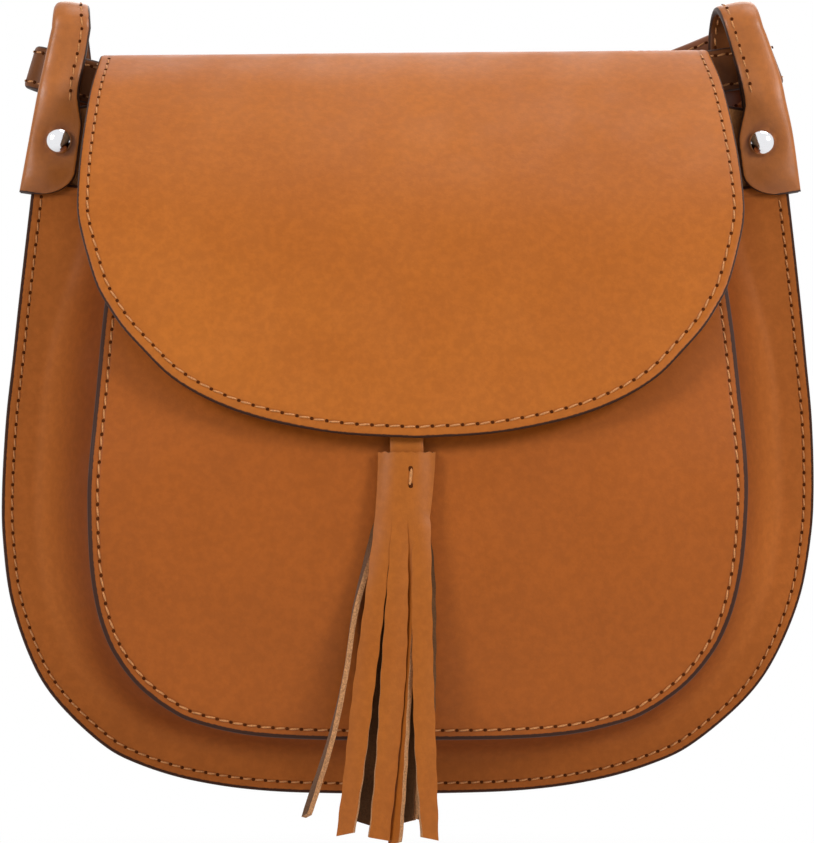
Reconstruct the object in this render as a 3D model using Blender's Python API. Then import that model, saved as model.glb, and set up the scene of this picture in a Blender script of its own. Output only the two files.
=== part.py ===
"""Leather shoulder bag: a saddle-shaped bag with a flap, a fringed tassel and a riveted strap.

Metres, +Z up, front towards -Y. The origin is the middle of the two strap arches, where a
rail or hook would hold the bag. Run it with blender --background --python part.py.
"""

import math

import bmesh
import bpy
import numpy as np
from mathutils import Matrix, Vector

MM = 0.001

# Leather and clearances
BODY_LEATHER = 1.8 * MM
GUSSET_LEATHER = 1.6 * MM
LINING_LEATHER = 0.8 * MM
TASSEL_LEATHER = 1.5 * MM
TAB_LEATHER = 1.6 * MM
STRAP_THICKNESS = 2.8 * MM
TONGUE_LEAF = 1.6 * MM
GAP = 0.3 * MM
CUT_OVERRUN = 4.0 * MM

# Where the rail passes: middle of the arches, measured from the fold of the flap
RAIL_BEHIND_FOLD = 5.8 * MM
RAIL_ABOVE_FOLD = 8.0 * MM

# Back panel
BACK_WIDTH = 251.0 * MM
BACK_HEIGHT = 227.0 * MM
NECK_INSET = 31.5 * MM
NECK_WIDTH = BACK_WIDTH - 2 * NECK_INSET
SHOULDER_DROP = 17.0 * MM
SHOULDER_ROUND = 7.0 * MM
# the curves at the foot of the neck and at the shoulder, as shares of SHOULDER_ROUND
NECK_FOOT_SHARES = ((0.0, -1.0), (0.333, -0.25), (1.0, 0.0))
SHOULDER_SHARES = ((-1.0, 0.125), (-0.25, 0.5))
BOTTOM_LEAN = 5.5 * MM
# half width as a share of BACK_WIDTH / 2, drop as a share of BACK_HEIGHT
BACK_SIDE_SHARES = (
    (0.919, 0.125), (0.935, 0.197), (0.963, 0.333), (0.978, 0.415), (0.993, 0.497),
    (1.000, 0.592), (0.994, 0.660), (0.968, 0.742), (0.912, 0.823), (0.844, 0.878),
    (0.733, 0.9325), (0.645, 0.9595), (0.500, 0.982), (0.300, 0.996), (0.0, 1.0),
)

# Front panel
FRONT_INSET = 29.5 * MM
FRONT_WIDTH = BACK_WIDTH - 2 * FRONT_INSET
FRONT_TOP_DROP = 47.0 * MM
FRONT_BOTTOM_DROP = 205.3 * MM
FRONT_DEPTH = 83.5 * MM
FRONT_CROWN = 5.0 * MM
FRONT_SIDE_SHARES = (
    (0.920, 0.0), (0.952, 0.214), (0.976, 0.379), (0.995, 0.489), (1.000, 0.562),
    (0.988, 0.672), (0.963, 0.752), (0.926, 0.811), (0.881, 0.855), (0.828, 0.892),
    (0.776, 0.919), (0.698, 0.951), (0.650, 0.965), (0.499, 0.987), (0.300, 0.998), (0.0, 1.0),
)
# depth as a share of FRONT_DEPTH against drop as a share of the panel's height
FRONT_DEPTH_SHARES = (
    (0.575, 0.0), (0.671, 0.095), (0.754, 0.196), (0.844, 0.303), (0.946, 0.449),
    (0.986, 0.587), (1.000, 0.745), (0.970, 0.903), (0.928, 1.0),
)

# Gusset: the band between back and front panels
GUSSET_START_SHARE = 0.035
GUSSET_EDGE_INSET = 0.3 * MM
REAR_FLANGE = 10.0 * MM
REAR_FLANGE_AT_TONGUE = 16.5 * MM
TONGUE_STRETCH = 60.0 * MM
FRONT_FLANGE = 8.0 * MM
GUSSET_FULLNESS = 13.0 * MM
GUSSET_COLUMNS = 10

# Flap: its length is measured along the leather, from the fold
FLAP_OVERHANG = 4.5 * MM
FLAP_WIDTH = NECK_WIDTH + 2 * FLAP_OVERHANG
FLAP_DEPTH = 86.0 * MM
FLAP_DROP = 118.0 * MM
FLAP_CROWN = 3.0 * MM
FLAP_CORNER = 2.0 * MM
FLAP_SIDE_SHARES = (
    (0.950, 0.0), (0.960, 0.085), (0.974, 0.18), (0.987, 0.30), (0.996, 0.40), (1.0, 0.48),
    (0.998, 0.54), (0.980, 0.60), (0.940, 0.69), (0.900, 0.74), (0.860, 0.78), (0.800, 0.825),
    (0.720, 0.878), (0.620, 0.92), (0.500, 0.953), (0.360, 0.977), (0.200, 0.993), (0.0, 1.0),
)
# depth as a share of FLAP_DEPTH, drop as a share of FLAP_DROP
FLAP_PROFILE_SHARES = (
    (0.0, 0.0), (0.075, 0.012), (0.290, 0.105), (0.523, 0.260), (0.721, 0.450),
    (0.860, 0.680), (0.975, 0.930), (1.0, 1.0),
)
LINING_INSET = 0.8 * MM

# Snap under the flap
SNAP_SIDE = 8.0 * MM
SNAP_BEHIND_TIP = 26.0 * MM
SNAP_RADIUS = 7.0 * MM
SNAP_CUP_HEIGHT = 2.2 * MM
SNAP_STUD_HEIGHT = 1.4 * MM
SNAP_POST_RADIUS = 2.0 * MM
SNAP_WASHER = 0.6 * MM
SNAP_WASHER_RADIUS = 6.0 * MM
SNAP_SEAT = 0.45 * MM
SNAP_BORE_SHARE = 0.45
SNAP_PIN_SHARE = 0.38
SNAP_FACE_SHARE = 0.93
SNAP_RIM_SHARE = 0.75

# Strap
STRAP_WIDTH = 13.6 * MM
ARCH_STRAP_WIDTH = 12.6 * MM
TONGUE_WIDTH = 18.0 * MM
TONGUE_LENGTH = 28.0 * MM
TONGUE_BLEND = 14.0 * MM
TONGUE_TOE = 5.0 * MM
TOE_ROW_SHARES = (0.0, 0.12, 0.3, 0.6, 1.0)
TIP_ROW_SHARES = (0.6, 0.25, 0.06)
TIP_END_SHARE = 0.03
UPRIGHT_LENGTH = 50.0 * MM
ARCH_INSET_LEFT = 21.5 * MM
ARCH_INSET_RIGHT = 21.5 * MM
ARCH_SPREAD_LEFT = BACK_WIDTH / 2 - ARCH_INSET_LEFT
ARCH_SPREAD_RIGHT = BACK_WIDTH / 2 - ARCH_INSET_RIGHT
LEAN_LEFT_DEG = 8.1
LEAN_RIGHT_DEG = 9.8
ARCH_RADIUS_LEFT = 6.5 * MM
ARCH_RADIUS_RIGHT = 7.2 * MM
ARCH_SLIP_RIGHT = 2.0 * MM

# Long strap behind the bag: each run's directions are seen from the front, in degrees
RIGHT_LEG_LENGTH = 10.5 * MM
CORNER_RADIUS = 1.8 * MM
REAR_BAND_OVERRUN = 0.5 * MM
REAR_BAND_LENGTH = ARCH_SPREAD_LEFT + ARCH_SPREAD_RIGHT + REAR_BAND_OVERRUN
REAR_BAND_START_DEG = 196.0
# share of the band's length, and the direction at its end
REAR_BAND_SHARES = ((0.44, 180.0), (0.56, 163.5))
LEFT_TURN_RADIUS = 6.0 * MM
FRONT_BAND_OVERRUN = 12.0 * MM
FRONT_BAND_LENGTH = ARCH_SPREAD_LEFT + ARCH_SPREAD_RIGHT + FRONT_BAND_OVERRUN
FRONT_BAND_SHARES = ((0.30, 360.0), (0.70, 370.0))
RIGHT_TURN_RADIUS = 2.6 * MM
DIAGONAL_DEG = 212.0
TAIL_TURN_RADIUS = 2.45 * MM
TAIL_END_DROP = 24.0 * MM

# Short strap and buckle
LEFT_LEG_DEG = 271.0
BUCKLE_DROP = 78.0 * MM
BUCKLE_ROD = 1.25 * MM
BUCKLE_CORNER = 2.0 * MM
BUCKLE_LENGTH = 17.0 * MM
BUCKLE_SIDE_ROOM = 1.0 * MM
FOLD_BACK = 17.0 * MM
PRONG_ROD = 0.9 * MM
PRONG_SLOT_ROOM = 0.5 * MM
PRONG_HOLE_SHARE = 0.5
PRONG_SLANT = 1.3 * MM
PRONG_EYE_DEG = (350.0, 70.0)
HOLE_RADIUS = 1.7 * MM
HOLE_PITCH = 16.0 * MM
HOLE_COUNT = 3
KEEPER_HEIGHT = 7.0 * MM
KEEPER_LEATHER = 1.4 * MM
KEEPER_FIXED_DROP = 55.0 * MM
KEEPER_SPACING = 15.0 * MM
KEEPER_SLIDING_DROP = KEEPER_FIXED_DROP - KEEPER_SPACING

# Rivets
RIVET_OUTSIDE_ARCH_LEFT = 3.1 * MM
RIVET_OUTSIDE_ARCH_RIGHT = 5.4 * MM
RIVET_DROP = 27.1 * MM
RIVET_DOME_RADIUS = 4.0 * MM
RIVET_DOME_HEIGHT = 2.8 * MM
RIVET_POST_RADIUS = 1.2 * MM
RIVET_CAP_RADIUS = 3.5 * MM
RIVET_CAP_HEIGHT = 1.2 * MM
RIVET_RIM_SHARE = 0.25
RIVET_SEAT_SHARE = 0.92
RIVET_CAP_FACE_SHARE = 0.8
RIVET_FOOT_SHARE = 0.7

# Tassel
TASSEL_SIDE = -3.0 * MM
TAB_WIDTH = 9.8 * MM
TAB_ROOT_BEHIND_TIP = 16.0 * MM
TASSEL_HEAD_WIDTH = 16.7 * MM
TASSEL_NECK_WIDTH = 14.6 * MM
TASSEL_HEAD_BELOW_FLAP = 4.2 * MM
TASSEL_HEAD_HEIGHT = 19.0 * MM
TASSEL_LENGTH = 111.0 * MM
TASSEL_LEAN = 4.8 * MM
TASSEL_LEAN_SHARE = 0.42
TAB_IN_HEAD = 11.5 * MM
TAB_END_GAP = 0.9 * MM
NECK_WIDTH_SHARES = (1.0, 1.0, 0.85, 0.55)
STITCH_BELOW_HEAD = 6.8 * MM
# each strip: its share of the leaf's width, how far its tip drifts sideways as a share of
# TASSEL_DRIFT, and its length as a share of the whole fringe
TASSEL_DRIFT = 30.0 * MM
STRIP_CURL = 0.65
SLIT_WIDTH = 1.2 * MM
SLIT_SHARE = 0.2
SLIT_TAPER = 4.0
FRONT_STRIP_SHARES = (
    (0.30, -0.46, 0.985), (0.28, -0.20, 1.0), (0.14, -0.06, 0.99), (0.28, 0.10, 1.0),
)
BACK_STRIP_SHARES = (
    (0.24, -0.80, 0.93), (0.26, -0.33, 0.96), (0.25, -0.02, 0.95), (0.25, 0.20, 0.95),
)

ROWS_PER_HALF = 30
ROD_SIDES = 10
FOLD_ROWS = 9
FOLD_STEP = 2.0 * MM
RUN_STEP = 16.0 * MM
SKEW_REACH = 24.0 * MM
# a direction that no rod of the buckle runs in
SKEW_DIRECTION = (0.31, 0.53, 0.79)

TAN = (0.52, 0.22, 0.07, 1.0)
BROWN = (0.36, 0.13, 0.035, 1.0)
DARK = (0.16, 0.05, 0.015, 1.0)
SUEDE = (0.42, 0.25, 0.13, 1.0)
STEEL = (0.80, 0.80, 0.82, 1.0)
BRASS = (0.72, 0.52, 0.24, 1.0)


def clear_scene():
    """Remove whatever the open file holds."""
    for item in list(bpy.data.objects):
        bpy.data.objects.remove(item, do_unlink=True)


def finish_of(name, colour, roughness, metallic):
    """A plain Principled material for one piece."""
    material = bpy.data.materials.new(name)
    material.use_nodes = True
    shader = material.node_tree.nodes["Principled BSDF"]
    shader.inputs["Base Color"].default_value = colour
    shader.inputs["Roughness"].default_value = roughness
    shader.inputs["Metallic"].default_value = metallic
    return material


def leather(name, colour=TAN):
    """Vegetable-tanned leather."""
    return finish_of(name + "_finish", colour, 0.5, 0.0)


def metal(name, colour=STEEL):
    """Polished metal."""
    return finish_of(name + "_finish", colour, 0.18, 1.0)


def to_part_frame(points):
    """Move points measured from the fold of the flap to the part's own origin."""
    shifted = np.array(points, dtype=float)
    shifted[..., 1] -= RAIL_BEHIND_FOLD
    shifted[..., 2] -= RAIL_ABOVE_FOLD
    return shifted


def add_object(name, vertices, faces, material):
    """Make a mesh object from vertices measured from the fold."""
    mesh = bpy.data.meshes.new(name)
    mesh.from_pydata([tuple(v) for v in to_part_frame(vertices)], [], faces)
    mesh.materials.append(material)
    mesh.update()
    piece = bpy.data.objects.new(name, mesh)
    bpy.context.scene.collection.objects.link(piece)
    return piece


def outward(piece):
    """Turn every face of a closed piece to point out."""
    shell = bmesh.new()
    shell.from_mesh(piece.data)
    bmesh.ops.recalc_face_normals(shell, faces=shell.faces)
    shell.to_mesh(piece.data)
    shell.free()
    return piece


def give_thickness(piece, thickness):
    """Thicken a sheet evenly about its middle surface."""
    wall = piece.modifiers.new("thickness", "SOLIDIFY")
    wall.thickness = thickness
    wall.offset = 0.0
    wall.use_even_offset = True
    return piece


def sheet(name, grid, thickness, material):
    """A leather sheet from rows and columns of points on its middle surface."""
    rows, columns = grid.shape[:2]
    faces = []
    for row in range(rows - 1):
        for column in range(columns - 1):
            first = row * columns + column
            faces.append((first, first + columns, first + columns + 1, first + 1))
    piece = add_object(name, grid.reshape(-1, 3), faces, material)
    return give_thickness(piece, thickness)


def cut(piece, cutter):
    """Subtract a hidden cutter from a piece."""
    cutter.hide_render = True
    cutter.display_type = "WIRE"
    cutter.hide_set(True)
    boolean = piece.modifiers.new("cut", "BOOLEAN")
    boolean.operation = "DIFFERENCE"
    boolean.object = cutter
    boolean.solver = "EXACT"


def turned(name, profile, centre, axis, material, segments=24):
    """A turned piece: a profile of (radius, height) pairs about an axis through a centre."""
    vertices = []
    rings = []
    for radius, height in profile:
        if radius == 0.0:
            rings.append([len(vertices)])
            vertices.append((0.0, 0.0, height))
            continue
        ring = []
        for step in range(segments):
            angle = math.tau * step / segments
            ring.append(len(vertices))
            vertices.append((radius * math.cos(angle), radius * math.sin(angle), height))
        rings.append(ring)
    faces = []
    for lower, upper in zip(rings, rings[1:]):
        for step in range(segments):
            following = (step + 1) % segments
            if len(lower) == 1:
                faces.append((lower[0], upper[following], upper[step]))
            elif len(upper) == 1:
                faces.append((lower[step], lower[following], upper[0]))
            else:
                faces.append((lower[step], lower[following], upper[following], upper[step]))
    turn = Vector((0.0, 0.0, 1.0)).rotation_difference(Vector(axis)).to_matrix()
    placed = [Vector(centre) + turn @ Vector(vertex) for vertex in vertices]
    return outward(add_object(name, np.array([tuple(v) for v in placed]), faces, material))


def rod_cutter(name, centre, axis, radius, length, segments=20):
    """A hidden cylinder, centred, that drills a hole."""
    half = length / 2
    profile = ((0.0, -half), (radius, -half), (radius, half), (0.0, half))
    return turned(name, profile, centre, axis, leather(name), segments)


def smooth_curve(points, steps=24):
    """Catmull-Rom curve through the points, as a dense polyline."""
    points = np.array(points, dtype=float)
    padded = np.vstack([2 * points[0] - points[1], points, 2 * points[-1] - points[-2]])
    share = np.linspace(0.0, 1.0, steps, endpoint=False)[:, None]
    pieces = []
    for first, second, third, fourth in zip(padded, padded[1:], padded[2:], padded[3:]):
        pieces.append(0.5 * (2 * second + (third - first) * share
                             + (2 * first - 5 * second + 4 * third - fourth) * share ** 2
                             + (3 * second - first - 3 * third + fourth) * share ** 3))
    return np.vstack(pieces + [points[-1:]])


def lengths_along(line):
    """Distance travelled along a polyline, at each of its points."""
    return np.concatenate([[0.0], np.cumsum(np.linalg.norm(np.diff(line, axis=0), axis=1))])


def even_points(line, shares):
    """Points of a polyline at shares of its length."""
    travelled = lengths_along(line)
    at = np.asarray(shares) * travelled[-1]
    return np.column_stack([np.interp(at, travelled, column) for column in line.T])


def half_rows_shares(count):
    """Shares of a half outline whose last step crosses the middle line."""
    return np.arange(count) / (count - 0.5)


def lean(drop):
    """How far the sagging bottom has moved to the left, at a drop below the fold."""
    return -BOTTOM_LEAN * np.clip(drop / BACK_HEIGHT, 0.0, 1.0) ** 4


def eased(share):
    """A share between 0 and 1 that starts and ends slowly."""
    share = np.clip(share, 0.0, 1.0)
    return share ** 2 * (3 - 2 * share)


def back_side_line():
    """Half outline of the back panel below its shoulder, as (half width, drop)."""
    sizes = np.array([BACK_WIDTH / 2, BACK_HEIGHT])
    return smooth_curve(np.array(BACK_SIDE_SHARES) * sizes)


def front_height():
    """Height of the front panel, seen from the front."""
    return FRONT_BOTTOM_DROP - FRONT_TOP_DROP


def front_side_line():
    """Half outline of the front panel, as (half width, drop below the fold)."""
    sizes = np.array([FRONT_WIDTH / 2, front_height()])
    return smooth_curve(np.array(FRONT_SIDE_SHARES) * sizes) + np.array([0.0, FRONT_TOP_DROP])


def front_depth(side, drop):
    """Depth of the front panel's middle surface before the back panel."""
    shares = smooth_curve(FRONT_DEPTH_SHARES)
    share = (drop - FRONT_TOP_DROP) / front_height()
    middle = FRONT_DEPTH * np.interp(share, shares[:, 1], shares[:, 0])
    return middle - FRONT_CROWN * (side / (FRONT_WIDTH / 2)) ** 2


def front_slant(place):
    """How much deeper a sheet is front to back where the front panel slopes."""
    step = FRONT_FLANGE / 4
    side, drop = place[:, :1], place[:, 1:]
    down = (front_depth(side, drop + step) - front_depth(side, drop - step)) / (2 * step)
    out = (front_depth(side + step, drop) - front_depth(side - step, drop)) / (2 * step)
    return np.sqrt(1 + down ** 2 + out ** 2)


def back_half_outline():
    """Half outline of the back panel: neck, shoulder, side and bottom, as (half width, drop)."""
    neck = NECK_WIDTH / 2
    shoulder = BACK_SIDE_SHARES[0][0] * BACK_WIDTH / 2
    top = hinge_clearance()
    foot = np.array([neck, SHOULDER_DROP]) + SHOULDER_ROUND * np.array(NECK_FOOT_SHARES)
    turn = np.array([shoulder, SHOULDER_DROP]) + SHOULDER_ROUND * np.array(SHOULDER_SHARES)
    corner = np.array([(neck - FLAP_CORNER, top), (neck, top + FLAP_CORNER)])
    upper = smooth_curve(np.vstack([corner, foot, turn]), 3)
    side = even_points(back_side_line(), half_rows_shares(ROWS_PER_HALF))
    return np.vstack([upper[:-1], side])


def back_panel():
    """The back: a flat saddle-shaped plate with a neck that carries the flap."""
    half = back_half_outline()
    across = np.array([-1.0, -0.5, 0.5, 1.0])
    grid = np.zeros((len(half), len(across), 3))
    grid[..., 0] = half[:, :1] * across + lean(half[:, 1:])
    grid[..., 2] = -half[:, 1:]
    return sheet("back_panel", grid, BODY_LEATHER, leather("back_panel", BROWN))


def hinge_clearance():
    """Drop of the back panel's top edge below the fold, clear of the flap's underside."""
    slope = FLAP_PROFILE_SHARES[1][1] * FLAP_DROP / (FLAP_PROFILE_SHARES[1][0] * FLAP_DEPTH)
    return BODY_LEATHER / 2 * (1 + slope) + 2 * GAP


def front_panel():
    """The front: bowed forward in profile and crowned across."""
    half = even_points(front_side_line(), half_rows_shares(ROWS_PER_HALF))
    across = np.linspace(-1.0, 1.0, 9)
    side = half[:, :1] * across
    drop = np.repeat(half[:, 1:], len(across), axis=1)
    grid = np.zeros((len(half), len(across), 3))
    grid[..., 0] = side + lean(drop)
    grid[..., 1] = -front_depth(side, drop)
    grid[..., 2] = -drop
    return sheet("front_panel", grid, BODY_LEATHER, leather("front_panel"))


def rear_flange_depth():
    """Depth of the gusset's rear flange, clear of the back panel."""
    return BODY_LEATHER / 2 + GAP + GUSSET_LEATHER / 2


def inward_normals(line):
    """Unit normals of a half outline that point into the panel."""
    step = np.gradient(line, axis=0)
    step /= np.linalg.norm(step, axis=1)[:, None]
    return np.column_stack([-step[:, 1], step[:, 0]])


def gusset():
    """The band round sides and bottom: a flange on the back, a soft wall, a flange in front."""
    back_line = back_side_line()
    along_back = lengths_along(back_line)
    start = np.searchsorted(along_back, GUSSET_START_SHARE * along_back[-1])
    count = ROWS_PER_HALF + 2
    shares = half_rows_shares(count)
    rear = even_points(back_line[start:], shares)
    front = even_points(front_side_line(), shares)
    rear_in = inward_normals(back_line)
    rear_in = unit_rows(even_directions(back_line[start:], rear_in[start:], shares))
    front_all = inward_normals(front_side_line())
    front_in = unit_rows(even_directions(front_side_line(), front_all, shares))
    travelled = lengths_along(rear)[:, None]
    blend = eased(travelled / TONGUE_STRETCH)
    flange = REAR_FLANGE_AT_TONGUE + (REAR_FLANGE - REAR_FLANGE_AT_TONGUE) * blend
    rows = []
    rear_depth = rear_flange_depth()
    behind_front = BODY_LEATHER / 2 + GAP + GUSSET_LEATHER / 2
    for inset in (GUSSET_EDGE_INSET + 0 * flange, flange / 2, flange):
        rows.append((rear + rear_in * inset, rear_depth + 0 * travelled))
    bend_rear = rear + rear_in * flange
    bend_front = front + front_in * FRONT_FLANGE
    depth_front = front_depth(bend_front[:, :1], bend_front[:, 1:])
    depth_front = depth_front - behind_front * front_slant(bend_front)
    handle_rear = bend_rear + rear_in * GUSSET_FULLNESS
    handle_front = bend_front + front_in * GUSSET_FULLNESS
    for share in np.linspace(0.0, 1.0, GUSSET_COLUMNS)[1:-1]:
        rest = 1 - share
        weights = (rest ** 3, 3 * share * rest ** 2, 3 * share ** 2 * rest, share ** 3)
        place = (weights[0] * bend_rear + weights[1] * handle_rear
                 + weights[2] * handle_front + weights[3] * bend_front)
        depth = (weights[0] + weights[1]) * rear_depth + (weights[2] + weights[3]) * depth_front
        rows.append((place, depth))
    for inset in (FRONT_FLANGE, FRONT_FLANGE / 2, GUSSET_EDGE_INSET):
        place = front + front_in * inset
        depth = front_depth(place[:, :1], place[:, 1:]) - behind_front * front_slant(place)
        rows.append((place, depth))
    grid = np.zeros((2 * count, len(rows), 3))
    for column, (place, depth) in enumerate(rows):
        right = np.column_stack([place[:, 0], -depth[:, 0], -place[:, 1]])
        left = right * np.array([-1.0, 1.0, 1.0])
        whole = np.vstack([left, right[::-1]])
        whole[:, 0] += lean(-whole[:, 2])
        grid[:, column] = whole
    return sheet("gusset", grid, GUSSET_LEATHER, leather("gusset", BROWN))


def even_directions(line, directions, shares):
    """Directions given along a polyline, read at shares of its length."""
    travelled = lengths_along(line)
    at = np.asarray(shares) * travelled[-1]
    return np.column_stack([np.interp(at, travelled, column) for column in directions.T])


def unit_rows(directions):
    """Scale each direction to unit length."""
    return directions / np.linalg.norm(directions, axis=1)[:, None]


def flap_profile():
    """The flap's middle line from the side, as (depth, drop)."""
    sizes = np.array([FLAP_DEPTH, FLAP_DROP])
    return smooth_curve(np.array(FLAP_PROFILE_SHARES) * sizes)


def flap_length():
    """Length of the flap's leather from the fold to its tip."""
    return lengths_along(flap_profile())[-1]


def flap_points(side, along, below):
    """Points of the flap at a place along its leather, below its middle surface."""
    line = flap_profile()
    travelled = lengths_along(line)
    tangent = np.gradient(line, axis=0)
    tangent /= np.linalg.norm(tangent, axis=1)[:, None]
    extra = np.maximum(along - travelled[-1], 0.0)
    depth = np.interp(along, travelled, line[:, 0]) + extra * tangent[-1, 0]
    drop = np.interp(along, travelled, line[:, 1]) + extra * tangent[-1, 1]
    out_depth = np.interp(along, travelled, tangent[:, 1])
    out_drop = -np.interp(along, travelled, tangent[:, 0])
    crown = FLAP_CROWN * (side / (FLAP_WIDTH / 2)) ** 2 * (along / travelled[-1]) ** 2
    forward = depth - below * out_depth - crown
    return np.stack([side + 0 * along, -forward, -(drop - below * out_drop)], axis=-1)


def flap_normal(along):
    """Outward direction of the flap at a place along its leather."""
    near = flap_points(np.array(0.0), np.array(along), 0.0)
    return unit_rows((near - flap_points(np.array(0.0), np.array(along), BODY_LEATHER))[None])[0]


def flap_grid(inset, below):
    """Rows and columns of the flap's sheet, drawn in by an inset."""
    sizes = np.array([FLAP_WIDTH / 2, flap_length()])
    line = smooth_curve(np.array(FLAP_SIDE_SHARES) * sizes)
    half = even_points(line + inset * inward_normals(line), half_rows_shares(ROWS_PER_HALF))
    half[0, 0] -= FLAP_CORNER
    across = np.linspace(-1.0, 1.0, 7)
    side = half[:, :1] * across
    along = np.repeat(half[:, 1:], len(across), axis=1)
    return flap_points(side, along, below)


def snap_along():
    """How far along the flap's leather the snap lies."""
    return flap_length() - SNAP_BEHIND_TIP


def snap_place(below):
    """The snap's axis at a distance below the flap's middle surface."""
    return flap_points(np.array(SNAP_SIDE), np.array(snap_along()), below)


def flap():
    """The flap's outer leather, with a shallow recess inside for the snap's washer."""
    piece = sheet("flap", flap_grid(0.0, 0.0), BODY_LEATHER, leather("flap"))
    recess = SNAP_WASHER + GAP
    place = snap_place(BODY_LEATHER / 2 + CUT_OVERRUN / 2 - recess)
    cut(piece, rod_cutter("flap_recess_cutter", place, flap_normal(snap_along()),
                          SNAP_WASHER_RADIUS + GAP, CUT_OVERRUN))
    return piece


def lining_below():
    """Depth of the lining's middle surface below the flap's."""
    return BODY_LEATHER / 2 + GAP + LINING_LEATHER / 2


def flap_lining():
    """The suede lining sewn inside the flap."""
    grid = flap_grid(LINING_INSET, lining_below())[1:]
    piece = sheet("flap_lining", grid, LINING_LEATHER, leather("flap_lining", SUEDE))
    cut(piece, rod_cutter("lining_hole_cutter", snap_place(lining_below()), flap_normal(snap_along()),
                          SNAP_POST_RADIUS + GAP, CUT_OVERRUN))
    return piece


def snap_cup():
    """The snap's cup under the flap, with its post through the lining, and the washer above."""
    normal = flap_normal(snap_along())
    face = snap_place(lining_below() + LINING_LEATHER / 2 + SNAP_SEAT)
    post = SNAP_SEAT + LINING_LEATHER + GAP / 2
    bore = SNAP_RADIUS * SNAP_BORE_SHARE
    rim = SNAP_CUP_HEIGHT * SNAP_RIM_SHARE
    profile = ((0.0, -SNAP_CUP_HEIGHT / 2), (bore, -SNAP_CUP_HEIGHT / 2), (bore, -SNAP_CUP_HEIGHT),
               (SNAP_RADIUS * SNAP_FACE_SHARE, -SNAP_CUP_HEIGHT), (SNAP_RADIUS, -rim),
               (SNAP_RADIUS, 0.0), (SNAP_POST_RADIUS, 0.0), (SNAP_POST_RADIUS, post), (0.0, post))
    turned("snap_cup", profile, face, normal, metal("snap_cup", BRASS))
    disc = ((0.0, 0.0), (SNAP_WASHER_RADIUS, 0.0), (SNAP_WASHER_RADIUS, SNAP_WASHER),
            (0.0, SNAP_WASHER))
    turned("snap_cup_washer", disc, snap_place(BODY_LEATHER / 2 - GAP / 2), normal,
           metal("snap_cup_washer"))


def front_point(side, drop):
    """A point on the front panel's middle surface."""
    return np.array([side, -float(front_depth(np.array(side), np.array(drop))), -drop])


def front_normal(side, drop):
    """Outward direction of the front panel at a drop."""
    step = SNAP_RADIUS / 2
    up = front_point(side, drop - step) - front_point(side, drop + step)
    return unit_rows(np.cross(up, np.array([-1.0, 0.0, 0.0]))[None])[0]


def snap_stud(panel):
    """The snap's stud on the front panel, its post through the leather and its washer inside."""
    drop = -snap_place(SNAP_RADIUS)[2]
    middle = front_point(SNAP_SIDE, drop)
    normal = front_normal(SNAP_SIDE, drop)
    face = middle + normal * (BODY_LEATHER / 2 + SNAP_SEAT)
    inner = BODY_LEATHER + 2 * SNAP_SEAT + SNAP_WASHER
    pin = SNAP_RADIUS * SNAP_PIN_SHARE
    profile = ((0.0, -inner), (SNAP_POST_RADIUS, -inner), (SNAP_POST_RADIUS, 0.0),
               (SNAP_RADIUS, 0.0), (SNAP_RADIUS, SNAP_STUD_HEIGHT * SNAP_RIM_SHARE),
               (SNAP_RADIUS * SNAP_FACE_SHARE, SNAP_STUD_HEIGHT), (pin, SNAP_STUD_HEIGHT),
               (pin, SNAP_STUD_HEIGHT + GAP), (0.0, SNAP_STUD_HEIGHT + GAP))
    turned("snap_stud", profile, face, normal, metal("snap_stud", BRASS))
    cut(panel, rod_cutter("panel_hole_cutter", middle, normal, SNAP_POST_RADIUS + GAP, 2 * CUT_OVERRUN))
    back = middle - normal * (BODY_LEATHER / 2 + SNAP_SEAT)
    ring = ((SNAP_POST_RADIUS + GAP, 0.0), (SNAP_WASHER_RADIUS, 0.0), (SNAP_WASHER_RADIUS, -SNAP_WASHER),
            (SNAP_POST_RADIUS + GAP, -SNAP_WASHER))
    closed_ring("snap_stud_washer", ring, back, normal, metal("snap_stud_washer"))


def closed_ring(name, section, centre, axis, material, segments=24):
    """A turned ring whose closed section lies clear of its axis."""
    turn = Vector((0.0, 0.0, 1.0)).rotation_difference(Vector(axis)).to_matrix()
    vertices = []
    faces = []
    count = len(section)
    for step in range(segments):
        angle = math.tau * step / segments
        for radius, height in section:
            corner = turn @ Vector((radius * math.cos(angle), radius * math.sin(angle), height))
            vertices.append(tuple(Vector(centre) + corner))
    for step in range(segments):
        following = (step + 1) % segments
        for edge in range(count):
            after = (edge + 1) % count
            faces.append((step * count + edge, step * count + after,
                          following * count + after, following * count + edge))
    return outward(add_object(name, np.array(vertices), faces, material))


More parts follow.
